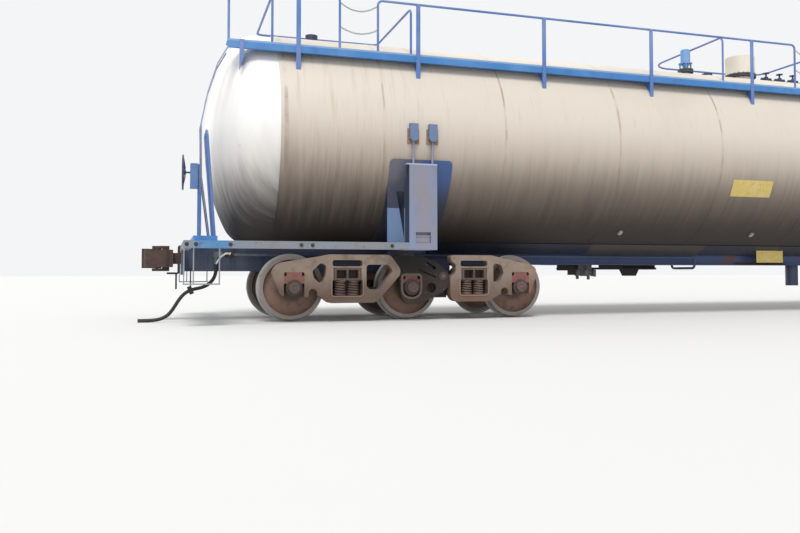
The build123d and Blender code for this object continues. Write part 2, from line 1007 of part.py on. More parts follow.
arm_window = [
    (-arm_window_w / 2, arm_window_bottom_h),
    (arm_window_w / 2, arm_window_bottom_h),
    (arm_window_w / 2, arm_window_top_h),
    (-arm_window_w / 2, arm_window_top_h),
]
arm_window_radii = [arm_window_low_r, arm_window_low_r, arm_window_top_r, arm_window_top_r]
arm_face_y = frame_in_y + arm_t
with BuildPart() as middle_arms_b:
    with BuildSketch(truck_plane(frame_in_y)):
        rounded(arm_outline, casting_corner_r)
        with Locations((arm_slot_x, arm_slot_h)):
            SlotOverall(arm_slot_len, arm_slot_w, rotation=arm_slot_tilt, mode=Mode.SUBTRACT)
    extrude(amount=arm_t)
    with BuildSketch(truck_plane(arm_face_y)):
        with BuildLine() as edge:
            FilletPolyline(*arm_window, radius=arm_window_radii, close=True)
        rim = make_face(edge.line.edges())
        offset(rim, arm_rim)
        with Locations((arm_pin_x, arm_pin_h)):
            Circle(arm_boss_r)
    extrude(amount=arm_rim_t)
    with BuildSketch(truck_plane(arm_face_y + arm_rim_t)):
        with Locations((arm_pin_x, arm_pin_h)):
            Circle(arm_pin_r)
    extrude(amount=arm_rim_t)
    with BuildSketch(truck_plane(frame_in_y)):
        with BuildLine() as edge:
            FilletPolyline(*arm_window, radius=arm_window_radii, close=True)
        make_face(edge.line.edges())
        with Locations((arm_hole_x, arm_hole_h)):
            Circle(arm_hole_r)
    extrude(amount=arm_t + arm_rim_t, mode=Mode.SUBTRACT)
    with BuildSketch(truck_plane(arm_face_y - arm_groove_deep)):
        with Locations((arm_groove_x, arm_groove_h)):
            SlotOverall(arm_groove_len, arm_groove_w, rotation=arm_groove_tilt)
    extrude(amount=arm_groove_deep, mode=Mode.SUBTRACT)
    mirror(about=Plane.XZ)

# Truck bolster: two cross beams on the springs, joined by a span with the centre bowl
beam_half = frame_in_y + frame_t
with BuildPart() as truck_bolster_b:
    for x in (-window_x, window_x):
        with BuildSketch(Plane.YZ.offset(-truck_x + x - truck_beam_w / 2)):
            outline(
                [
                    (-beam_half, rail_z + truck_beam_under_h),
                    (beam_half, rail_z + truck_beam_under_h),
                    (beam_half, rail_z + truck_beam_end_top_h),
                    (truck_beam_rise_y + truck_beam_slope, rail_z + truck_beam_end_top_h),
                    (truck_beam_rise_y, rail_z + truck_beam_mid_top_h),
                    (-truck_beam_rise_y, rail_z + truck_beam_mid_top_h),
                    (-truck_beam_rise_y - truck_beam_slope, rail_z + truck_beam_end_top_h),
                    (-beam_half, rail_z + truck_beam_end_top_h),
                ]
            )
        extrude(amount=truck_beam_w)
        for side in sides:
            for across in sides:
                middle_x = -truck_x + x + across * (beam_pocket_w + beam_pocket_rib) / 2
                block_across(
                    side,
                    (middle_x - beam_pocket_w / 2, beam_half - beam_pocket_deep),
                    (middle_x + beam_pocket_w / 2, beam_half),
                    rail_z + (truck_beam_under_h + truck_beam_end_top_h - beam_pocket_tall) / 2,
                    beam_pocket_tall,
                    Mode.SUBTRACT,
                )
    block(
        (-truck_x - window_x, -truck_span_half_w, rail_z + truck_beam_under_h),
        (-truck_x + window_x, truck_span_half_w, rail_z + truck_beam_mid_top_h),
    )
    with BuildSketch(Plane.XY.offset(rail_z + truck_beam_mid_top_h)):
        with Locations((-truck_x, 0)):
            Circle(centre_plate_r + centre_plate_clear + bowl_rim)
            Circle(centre_plate_r + centre_plate_clear, mode=Mode.SUBTRACT)
    extrude(amount=bowl_rim_h)

# Coil springs in two rows under each end of both cross beams
with BuildPart() as springs_b:
    for side in sides:
        with BuildSketch(Plane.XY.offset(rail_z + window_bottom_h)):
            for x in (-window_x, window_x):
                for y in spring_rows:
                    for dx in (-spring_pitch / 2, spring_pitch / 2):
                        with Locations((-truck_x + x + dx, side * y)):
                            Circle(spring_r)
        extrude(amount=truck_beam_under_h - window_bottom_h)

# Bearings on the journals, and the adapters that seat the castings on them
with BuildPart() as bearings_b:
    with BuildSketch(truck_plane(frame_in_y)):
        for x in axle_xs:
            with Locations((x, wheel_r)):
                Circle(bearing_r)
                Circle(journal_r + journal_clear, mode=Mode.SUBTRACT)
    extrude(amount=bearing_len)
    mirror(about=Plane.XZ)

with BuildPart() as adapters_b:
    for x, top, width, depth in (
        (-axle_spacing, pedestal_top_h, pedestal_w, frame_t),
        (0, arm_window_top_h, arm_window_w, arm_t),
        (axle_spacing, pedestal_top_h, pedestal_w, frame_t),
    ):
        with BuildSketch(truck_plane(frame_in_y)):
            with Locations((x, wheel_r + adapter_rise)):
                Rectangle(
                    width,
                    top - adapter_ear_h - wheel_r - adapter_rise,
                    align=(Align.CENTER, Align.MIN),
                )
                Rectangle(
                    width - 2 * adapter_ear_w,
                    top - wheel_r - adapter_rise,
                    align=(Align.CENTER, Align.MIN),
                )
            with Locations((x, wheel_r)):
                Circle(bearing_r + seat_gap, mode=Mode.SUBTRACT)
        extrude(amount=depth)
    mirror(about=Plane.XZ)

# Brake beams across the truck between the side castings, each with two shoes. Columns are
# the beam's x from the truck's middle and the axle's x that its shoes bear on.
beam_rows = (
    (-shoe_beam_out_x, -axle_spacing),
    (-shoe_beam_in_x, 0),
    (shoe_beam_in_x, 0),
    (shoe_beam_out_x, axle_spacing),
)
with BuildPart() as brake_beams_b:
    for beam_x, wheel_x in beam_rows:
        block(
            (-truck_x + beam_x - shoe_beam_w / 2, -frame_in_y, rail_z + shoe_beam_h),
            (
                -truck_x + beam_x + shoe_beam_w / 2,
                frame_in_y,
                rail_z + shoe_beam_h + shoe_beam_tall,
            ),
        )
        for side in sides:
            shoe_y = side * (flange_back_y + flange_t + shoe_w / 2 + shoe_gap)
            with BuildSketch(Plane.XZ.offset(-shoe_y - shoe_w / 2)):
                low_z = rail_z + shoe_beam_h - shoe_over
                high_z = rail_z + shoe_beam_h + shoe_beam_tall + shoe_over
                wheel_side_x = -truck_x + wheel_x
                outline(
                    [
                        (-truck_x + beam_x, low_z),
                        (wheel_side_x, low_z),
                        (wheel_side_x, high_z),
                        (-truck_x + beam_x, high_z),
                    ]
                )
                with Locations((wheel_side_x, axle_z)):
                    Circle(wheel_r + shoe_gap, mode=Mode.SUBTRACT)
            extrude(amount=shoe_w)

# Wheelsets: an axle with its two wheels and the bearing end caps, turned from (y, radius)
bearing_out_y = frame_in_y + bearing_len
wheel_profile = [
    (0, 0),
    (0, axle_r),
    (hub_in_y, axle_r),
    (hub_in_y, hub_r),
    (flange_back_y + plate_dish, hub_r),
    (flange_back_y + plate_set_in, wheel_r - rim_t),
    (flange_back_y, wheel_r - rim_t),
    (flange_back_y, wheel_r + flange_h / 2),
    (flange_back_y + flange_t / 3, wheel_r + flange_h),
    (flange_back_y + flange_t, wheel_r),
    (flange_back_y + rim_w, wheel_r - tread_fall),
    (flange_back_y + rim_w, wheel_r - rim_t),
    (flange_back_y + plate_set_in + plate_t, wheel_r - rim_t),
    (flange_back_y + plate_dish + plate_t, hub_r),
    (hub_in_y + hub_w, hub_r),
    (hub_in_y + hub_w, axle_seat_r),
    (frame_in_y - journal_end, axle_seat_r),
    (frame_in_y - journal_end, journal_r),
    (bearing_out_y + cap_gap, journal_r),
    (bearing_out_y + cap_gap, cap_r),
    (bearing_out_y + cap_gap + cap_t, cap_r),
    (bearing_out_y + cap_gap + cap_t, 0),
]
wheelsets = {}
for number, x in enumerate(axle_xs, start=1):
    with BuildPart() as wheelset:
        centre = (-truck_x + x, 0, axle_z)
        with BuildSketch(Plane(origin=centre, x_dir=(0, 1, 0), z_dir=(-1, 0, 0))):
            outline(wheel_profile)
        revolve(axis=Axis(centre, (0, 1, 0)))
        mirror(about=Plane.XZ)
    wheelsets[number] = wheelset

# Couplers: a body with its shank on the pivot pin, a guard arm, and lugs over and under
# the knuckle. Outlines are (outward from the end sill's face, across to the knuckle's side)
with BuildPart() as coupler_b:
    with BuildSketch(coupler_plane(shank_half_h)):
        with Locations(((horn_out - coupler_pivot_in) / 2, 0)):
            Rectangle(horn_out + coupler_pivot_in, 2 * shank_half_w)
        with Locations((-coupler_pivot_in, 0)):
            Circle(shank_half_w)
            Circle(pivot_pin_r + pin_clear, mode=Mode.SUBTRACT)
    extrude(amount=2 * shank_half_h)
    with BuildSketch(coupler_plane(head_half_h)):
        outline(
            [
                (horn_out, -horn_half_w),
                (horn_out + horn_t, -horn_half_w),
                (head_out - horn_t, -head_half_w),
                (coupler_reach - guard_t, -head_half_w),
                (coupler_reach - guard_t / 2, -head_half_w + guard_t),
                (head_out + horn_t, -head_half_w + 1.5 * guard_t),
                (head_out, 0),
                (head_out, head_half_w),
                (horn_out + horn_t, horn_half_w),
                (horn_out, horn_half_w),
            ]
        )
        with Locations((knuckle_out, knuckle_side)):
            Circle(knuckle_hub_r + shank_clear, mode=Mode.SUBTRACT)
    extrude(amount=2 * head_half_h)
    for top in (knuckle_half_h + lug_gap + lug_t, -knuckle_half_h - lug_gap):
        with BuildSketch(coupler_plane(top)):
            outline(
                [
                    (horn_out + horn_t, 0),
                    (head_out, 0),
                    (knuckle_out, knuckle_side - knuckle_hub_r),
                    (knuckle_out, knuckle_side + knuckle_hub_r),
                    (horn_out + horn_t, head_half_w),
                ]
            )
            with Locations((knuckle_out, knuckle_side)):
                Circle(knuckle_hub_r)
        extrude(amount=lug_t)
    for top in (knuckle_half_h + lug_gap, -head_half_h):
        with BuildSketch(coupler_plane(top)):
            with Locations((horn_out + horn_t, head_half_w / 2)):
                Rectangle(
                    head_out - horn_out - horn_t,
                    head_half_w,
                    align=(Align.MIN, Align.CENTER),
                )
        extrude(amount=knuckle_half_h + lug_gap - head_half_h)
    with BuildSketch(coupler_plane(knuckle_half_h + lug_gap)):
        with Locations((knuckle_out, knuckle_side)):
            Circle(knuckle_pin_r)
    extrude(amount=2 * (knuckle_half_h + lug_gap))

with BuildPart() as knuckle_b:
    with BuildSketch(coupler_plane(knuckle_half_h)):
        with Locations((knuckle_out, knuckle_side)):
            Circle(knuckle_hub_r)
        outline(
            [
                (knuckle_out, knuckle_side + knuckle_hub_r),
                (coupler_reach - knuckle_nose_t / 2, knuckle_side + knuckle_hub_r / 2),
                (coupler_reach, knuckle_side - knuckle_hub_r / 2),
                (coupler_reach, knuckle_nose_end),
                (coupler_reach - knuckle_nose_t, knuckle_nose_end),
                (coupler_reach - knuckle_nose_t, knuckle_side - knuckle_hub_r),
                (knuckle_out, knuckle_side - knuckle_hub_r),
            ]
        )
        with Locations((knuckle_out, knuckle_side)):
            Circle(knuckle_pin_r + pin_clear, mode=Mode.SUBTRACT)
    extrude(amount=2 * knuckle_half_h)

# Uncoupling lever: a rod on brackets in front of the end sill, from its handle at the
# car's corner to a point under the coupler
lever_x = -end_x - lever_out
lever_z = coupler_z - lever_drop
with BuildPart() as uncoupling_lever_b:
    bent_bar(
        [
            (lever_x, lever_handle_y, lever_z - lever_handle_len),
            (lever_x, lever_handle_y, lever_z),
            (lever_x, 0, lever_z),
            (lever_x - lever_reach, 0, lever_z),
        ],
        lever_r,
        lever_bend_r,
    )
    for y in lever_bracket_ys:
        block(
            (lever_x - lever_r, y - lever_r, lever_z),
            (-end_x, y + lever_r, lever_z + lever_r),
        )
        block(
            (-end_x - 2 * lever_r, y - lever_r, lever_z),
            (-end_x, y + lever_r, sill_top_z),
        )

# Hand brake on the brake end: wheel, gear box on its post, and the rod down to the sill
wheel_x = -end_x + brake_wheel_out
with BuildPart() as hand_brake_wheel:
    wheel_plane = Plane(
        origin=(wheel_x, brake_y, rail_z + brake_wheel_h), x_dir=(0, 1, 0), z_dir=(-1, 0, 0)
    )
    with BuildSketch(wheel_plane):
        Circle(brake_wheel_r)
        Circle(brake_wheel_r - 2 * brake_wheel_rim_r, mode=Mode.SUBTRACT)
        for angle in (0, 90):
            Rectangle(
                2 * (brake_wheel_r - brake_wheel_rim_r), 2 * brake_wheel_rim_r, rotation=angle
            )
        Circle(2.5 * brake_wheel_rim_r)
    extrude(amount=brake_wheel_rim_r, both=True)
    with BuildSketch(wheel_plane):
        Circle(brake_wheel_rim_r)
    extrude(amount=-(brake_box_in - brake_wheel_out))

with BuildPart() as hand_brake_gear:
    box_x = -end_x + brake_box_in
    box_z = rail_z + brake_wheel_h - brake_box_drop - brake_box_tall / 2
    block(
        (box_x, brake_y - brake_box_w / 2, box_z),
        (box_x + brake_box_d, brake_y + brake_box_w / 2, box_z + brake_box_tall),
    )
    block(
        (box_x + brake_box_d, brake_y - brake_post_w / 2, platform_z),
        (box_x + brake_box_d + brake_post_d, brake_y + brake_post_w / 2, box_z + brake_box_tall),
    )

# Brake pipe along the car, crossing under the centre sill, with an angle cock at each end
pipe_end_x = end_x - pipe_end_in
pipe_z = rail_z + pipe_h
with BuildPart() as brake_pipe:
    bent_bar(
        [
            (-pipe_end_x, -pipe_y, pipe_z),
            (pipe_cross_x, -pipe_y, pipe_z),
            (pipe_cross_x, -pipe_y, rail_z + pipe_cross_h),
            (pipe_cross_x, pipe_y, rail_z + pipe_cross_h),
            (pipe_cross_x, pipe_y, pipe_z),
            (pipe_end_x, pipe_y, pipe_z),
        ],
        pipe_r,
        pipe_bend_r,
    )
    for end in sides:
        round_bar(
            (end * pipe_end_x, end * pipe_y, pipe_z),
            (end * (pipe_end_x + cock_len), end * pipe_y, pipe_z),
            cock_r,
        )
        round_bar(
            (end * (pipe_end_x + cock_len - cock_r), end * pipe_y, pipe_z),
            (end * (pipe_end_x + cock_len - cock_r), end * pipe_y, pipe_z - cock_drop),
            pipe_r + 8,
        )
        for x in pipe_clips:
            near = min(end * sill_half_w, end * pipe_y)
            far = max(end * sill_half_w, end * pipe_y)
            block(
                (end * x - pipe_clip_w / 2, near, pipe_z - pipe_r / 2),
                (end * x + pipe_clip_w / 2, far, pipe_z + pipe_r / 2),
            )

# Brake equipment beside the centre sill
gear_z = rail_z + gear_h
with BuildPart() as air_reservoir:
    with Locations(Plane(origin=(reservoir_x, reservoir_y, gear_z), z_dir=(1, 0, 0))):
        Cylinder(reservoir_r, reservoir_len)
    for dx in (-reservoir_len / 3, reservoir_len / 3):
        block(
            (reservoir_x + dx - pipe_clip_w / 2, sill_half_w, gear_z - pipe_clip_w / 2),
            (reservoir_x + dx + pipe_clip_w / 2, reservoir_y, gear_z + pipe_clip_w / 2),
        )

with BuildPart() as brake_cylinder:
    with Locations(Plane(origin=(cylinder_x, cylinder_y, gear_z), z_dir=(1, 0, 0))):
        Cylinder(cylinder_r, cylinder_len)
    block(
        (cylinder_x - cylinder_len / 3, sill_half_w, gear_z - pipe_clip_w),
        (cylinder_x + cylinder_len / 3, cylinder_y, gear_z + pipe_clip_w),
    )

with BuildPart() as control_valve:
    block(
        (control_x - control_size / 2, sill_half_w, gear_z - control_size / 3),
        (control_x + control_size / 2, sill_half_w + control_size, gear_z + control_size / 3),
    )

# Fittings on top of the tank
crown_z = tank_z + jacket_r
with BuildPart() as manway:
    for x, radius, low, high in (
        (manway_x, manway_neck_r, -top_seat, manway_flange_h),
        (manway_x, manway_flange_r, manway_flange_h, manway_flange_h + manway_flange_t),
        (
            manway_x,
            manway_flange_r - manway_joint,
            manway_flange_h + manway_flange_t,
            manway_flange_h + manway_flange_t + manway_joint,
        ),
        (
            manway_x,
            manway_flange_r,
            manway_flange_h + manway_flange_t + manway_joint,
            manway_flange_h + 2 * manway_flange_t + manway_joint,
        ),
        (
            manway_x,
            manway_r,
            manway_flange_h + 2 * manway_flange_t + manway_joint,
            manway_tall,
        ),
        (well_x, well_r, -top_seat, well_tall),
    ):
        with BuildSketch(Plane.XY.offset(crown_z + low)):
            with Locations((x, 0)):
                Circle(radius)
        extrude(amount=high - low)
    cut_tank(tank_seat_r)

# Safety valve: neck with two flanges, an open ring of bars round the stem, and the cap
cap_z = crown_z + valve_tall - valve_cap_tall
flange_top_z = crown_z + valve_flange_h + 2 * valve_flange_t
with BuildPart() as safety_valve:
    for radius, low_z, high_z in (
        (valve_neck_r, crown_z - top_seat, flange_top_z),
        (valve_flange_r, crown_z + valve_flange_h, flange_top_z),
        (valve_stem_r, flange_top_z, cap_z),
        (lantern_r, cap_z - lantern_t, cap_z),
        (valve_cap_r, cap_z, crown_z + valve_tall - valve_cap_edge),
        (valve_cap_r - valve_cap_edge, cap_z, crown_z + valve_tall),
    ):
        with BuildSketch(Plane.XY.offset(low_z)):
            with Locations((valve_x, 0)):
                Circle(radius)
        extrude(amount=high_z - low_z)
    with BuildSketch(Plane.XY.offset(flange_top_z)):
        with Locations((valve_x, 0)):
            with PolarLocations(lantern_r - 1.5 * lantern_bar_r, 6):
                Circle(lantern_bar_r)
    extrude(amount=cap_z - flange_top_z)
    cut_tank(tank_seat_r)

# Valve cluster: a pad with three valves, each with its stem, hand wheel and side branch
with BuildPart() as valve_cluster:
    with BuildSketch(Plane.XY.offset(crown_z - top_seat)):
        with Locations((cluster_x, 0)):
            RectangleRounded(cluster_len, cluster_w, cluster_w / 4)
    extrude(amount=top_seat + cluster_h)
    for dx in (-cluster_step, 0, cluster_step):
        stem_z = crown_z + cluster_h + cluster_valve_h
        for radius, low_z, high_z in (
            (cluster_valve_r, crown_z + cluster_h, stem_z),
            (cluster_stem_r, stem_z, crown_z + cluster_h + cluster_stem_h),
            (
                cluster_wheel_r,
                crown_z + cluster_h + cluster_stem_h - cluster_wheel_t,
                crown_z + cluster_h + cluster_stem_h,
            ),
        ):
            with BuildSketch(Plane.XY.offset(low_z)):
                with Locations((cluster_x + dx, 0)):
                    Circle(radius)
            extrude(amount=high_z - low_z)
        with BuildSketch(Plane.YZ.offset(cluster_x + dx - cluster_branch_len / 2)):
            with Locations((0, crown_z + cluster_h + cluster_valve_h / 2)):
                Circle(cluster_branch_r)
        extrude(amount=cluster_branch_len)
    with BuildSketch(Plane.XY.offset(crown_z - top_seat)):
        with Locations((fitting_x, 0)):
            Circle(fitting_r)
    extrude(amount=top_seat + fitting_h)
    cut_tank(tank_seat_r)

with BuildPart() as bottom_outlet:
    with BuildSketch(Plane.XY.offset(rail_z + outlet_bottom_h)):
        with Locations((outlet_x, 0)):
            Circle(outlet_r)
    extrude(amount=sill_bottom_h - outlet_bottom_h)
    with BuildSketch(Plane.XY.offset(rail_z + sill_bottom_h)):
        with Locations((outlet_x, 0)):
            Circle(min(outlet_r, sill_half_w - 2 * sill_web_t))
    extrude(amount=sill_inside_h)

# Air hoses hang from the angle cocks, pass over a support and rest on the floor. The route
# is outward from the end sill's face and height above the floor, and hose_y is across.
cock_x = pipe_end_in - cock_len + cock_r
hose_route = [(-cock_x, pipe_z - cock_drop - seat_gap)]
hose_route += [(-cock_x + along, height) for along, height in hose_steps]
hose_points = [(-end_x - out, -pipe_y, z) for out, z in hose_route]
hose_radii = corner_radii(hose_points)
print("air hose radii", [round(radius) for radius in hose_radii])
with BuildPart() as air_hose_b:
    with BuildLine() as hose_run:
        FilletPolyline(*hose_points, radius=hose_radii)
    with BuildSketch(Plane(origin=hose_run.line @ 0, z_dir=hose_run.line % 0)):
        Circle(hose_r)
    sweep(path=hose_run.line)
print("air hose length", round(hose_run.wire().length))

# Clamp block round the hose, hung from a bar out of the draft sill's side
clamp_line = hose_run.wire()
clamp_middle = clamp_line.position_at(clamp_at)
clamp_plane = Plane(
    origin=clamp_middle, x_dir=(0, 1, 0), z_dir=clamp_line.tangent_at(clamp_at)
)
clamp_bar_z = draft_z + clamp_bar
with BuildPart() as hose_clamp_b:
    with BuildSketch(clamp_plane):
        Rectangle(clamp_w, clamp_tall)
        Circle(hose_r + clamp_clear, mode=Mode.SUBTRACT)
    extrude(amount=clamp_long / 2, both=True)
    bar_low_x = clamp_middle.X - clamp_bar / 2
    bar_near_y = -pipe_y + clamp_w / 2 - clamp_bar
    block(
        (bar_low_x, bar_near_y, clamp_middle.Z + clamp_tall / 3),
        (bar_low_x + clamp_bar, bar_near_y + clamp_bar, clamp_bar_z + clamp_bar),
    )
    block(
        (bar_low_x, bar_near_y, clamp_bar_z),
        (bar_low_x + clamp_bar, -sill_half_w, clamp_bar_z + clamp_bar),
    )

with BuildPart() as gladhand_b:
    hose_end = hose_points[-1]
    round_bar(hose_end, (hose_end[0] - gladhand_len, hose_end[1], hose_end[2]), hose_r)

# Write every piece. Pieces of the two ends are one node where they ride on the car's body,
# and the A end is the B end turned half round.
single = {
    "tank_jacket": tank_jacket,
    "centre_sill": centre_sill,
    "walkway": walkway,
    "stanchion_posts": stanchion_posts,
    "handrails": handrails,
    "guard_rails": guard_rails,
    "hand_brake_wheel": hand_brake_wheel,
    "hand_brake_gear": hand_brake_gear,
    "brake_pipe": brake_pipe,
    "air_reservoir": air_reservoir,
    "brake_cylinder": brake_cylinder,
    "control_valve": control_valve,
    "manway": manway,
    "safety_valve": safety_valve,
    "valve_cluster": valve_cluster,
    "bottom_outlet": bottom_outlet,
}
both_ends = {
    "saddles": saddle_b,
    "draft_sills": draft_sill_b,
    "body_bolsters": body_bolster_b,
    "tie_rods": tie_rods_b,
    "end_frames": end_frame_b,
    "end_platforms": end_platform_b,
    "corner_steps": corner_steps_b,
    "uncoupling_levers": uncoupling_lever_b,
    "hose_clamps": hose_clamp_b,
}
mirrored_ends = {
    "tank_heads": tank_head_b,
    "ladders": ladder_b,
    "end_rails": end_rail_b,
}
each_end = {
    "side_frames": side_frames_b,
    "middle_arms": middle_arms_b,
    "truck_bolster": truck_bolster_b,
    "springs": springs_b,
    "bearings": bearings_b,
    "adapters": adapters_b,
    "brake_beams": brake_beams_b,
    "coupler": coupler_b,
    "knuckle": knuckle_b,
    "air_hose": air_hose_b,
    "gladhand": gladhand_b,
}
for number, wheelset in wheelsets.items():
    each_end[f"wheelset_{number}"] = wheelset

os.makedirs("parts", exist_ok=True)
for name, piece in single.items():
    piece.part.label = name
    export_step(piece.part, f"parts/{name}.step")
for name, piece in both_ends.items():
    with BuildPart() as pair:
        add(piece.part)
        add(piece.part, rotation=(0, 0, 180))
    pair.part.label = name
    export_step(pair.part, f"parts/{name}.step")
for name, piece in mirrored_ends.items():
    with BuildPart() as pair:
        add(piece.part)
        mirror(about=Plane.YZ)
    pair.part.label = name
    export_step(pair.part, f"parts/{name}.step")
for name, piece in each_end.items():
    with BuildPart() as other_end:
        add(piece.part, rotation=(0, 0, 180))
    for end, made in (("b", piece), ("a", other_end)):
        made.part.label = f"{name}_{end}"
        export_step(made.part, f"parts/{name}_{end}.step")
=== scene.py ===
import math

import bpy
from mathutils import Matrix, Vector


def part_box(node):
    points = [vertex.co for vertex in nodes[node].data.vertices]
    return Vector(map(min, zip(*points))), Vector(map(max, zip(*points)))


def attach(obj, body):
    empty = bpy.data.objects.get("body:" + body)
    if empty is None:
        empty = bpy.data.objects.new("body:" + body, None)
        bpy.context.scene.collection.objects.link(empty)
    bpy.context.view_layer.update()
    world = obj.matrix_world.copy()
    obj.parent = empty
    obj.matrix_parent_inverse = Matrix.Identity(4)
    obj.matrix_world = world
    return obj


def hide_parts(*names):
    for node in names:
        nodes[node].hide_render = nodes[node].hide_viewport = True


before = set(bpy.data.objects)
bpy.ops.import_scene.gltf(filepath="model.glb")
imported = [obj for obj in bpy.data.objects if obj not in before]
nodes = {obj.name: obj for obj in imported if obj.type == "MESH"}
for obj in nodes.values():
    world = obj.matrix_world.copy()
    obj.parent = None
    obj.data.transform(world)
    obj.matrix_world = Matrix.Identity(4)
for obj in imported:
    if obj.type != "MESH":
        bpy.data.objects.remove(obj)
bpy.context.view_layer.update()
scene = bpy.context.scene

# Both ends are alike: b is toward minus X and near the camera, a is toward plus X
ENDS = (("b", -1), ("a", 1))
SIDES = (-1, 1)
X, Y, Z = range(3)
LENGTHWISE, SIDEWAYS, UP = Vector((1, 0, 0)), Vector((0, 1, 0)), Vector((0, 0, 1))
MM = 0.001


# Places read from the CAD
def span(node, axis):
    """Lowest and highest place of a CAD node along an axis, in metres."""
    low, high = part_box(node)
    return low[axis], high[axis]


def middle(node, axis):
    return sum(span(node, axis)) / 2


JACKET_R = span("tank_jacket", Y)[1]
JACKET_END = span("tank_jacket", X)[1]
TANK_Z = middle("tank_jacket", Z)
CROWN_Z = TANK_Z + JACKET_R
TRUCK_X = middle("wheelset_2_a", X)
AXLE_STEP = middle("wheelset_1_a", X) - TRUCK_X
AXLE_Z = middle("wheelset_2_a", Z)
CAP_Y = span("wheelset_2_a", Y)[1]
SPRING_LOW, SPRING_HIGH = span("springs_a", Z)
SILL_SIDE = span("centre_sill", Y)[1]
SILL_UNDER = span("centre_sill", Z)[0]
FRAME_SIDE = span("end_frames", Y)[1]
FRAME_Z = middle("end_frames", Z)
COLUMN_TOP = span("body_bolsters", Z)[1]
WALKWAY_TOP = span("walkway", Z)[1]
LADDER_Y = -middle("ladders", Y)
BLOCK_SIDE = span("tie_rods", Y)[1]
# The cradle strips start from the centre sill at this height, and the sill is painted in shade
# from there up
CRADLE_FOOT = 0.995


# Materials
def linear(code):
    """sRGB hex to a linear RGBA tuple."""
    out = []
    for i in (1, 3, 5):
        c = int(code[i : i + 2], 16) / 255
        out.append(c / 12.92 if c <= 0.04045 else ((c + 0.055) / 1.055) ** 2.4)
    return (*out, 1.0)


def add(tree, kind, inputs=(), **settings):
    """Add a node; inputs gives a socket, by name or number, its value or what feeds it."""
    made = tree.nodes.new(kind)
    for key, value in settings.items():
        setattr(made, key, value)
    for key, value in dict(inputs).items():
        if isinstance(value, bpy.types.NodeSocket):
            tree.links.new(value, made.inputs[key])
        else:
            made.inputs[key].default_value = value
    return made


def above(field, value, soft=0.003):
    """Where a coat lies: the field is over a value, with an edge as soft as given."""
    return field, value - soft, value + soft


def below(field, value, soft=0.003):
    """Where a coat lies: the field is under a value."""
    return field, value + soft, value - soft


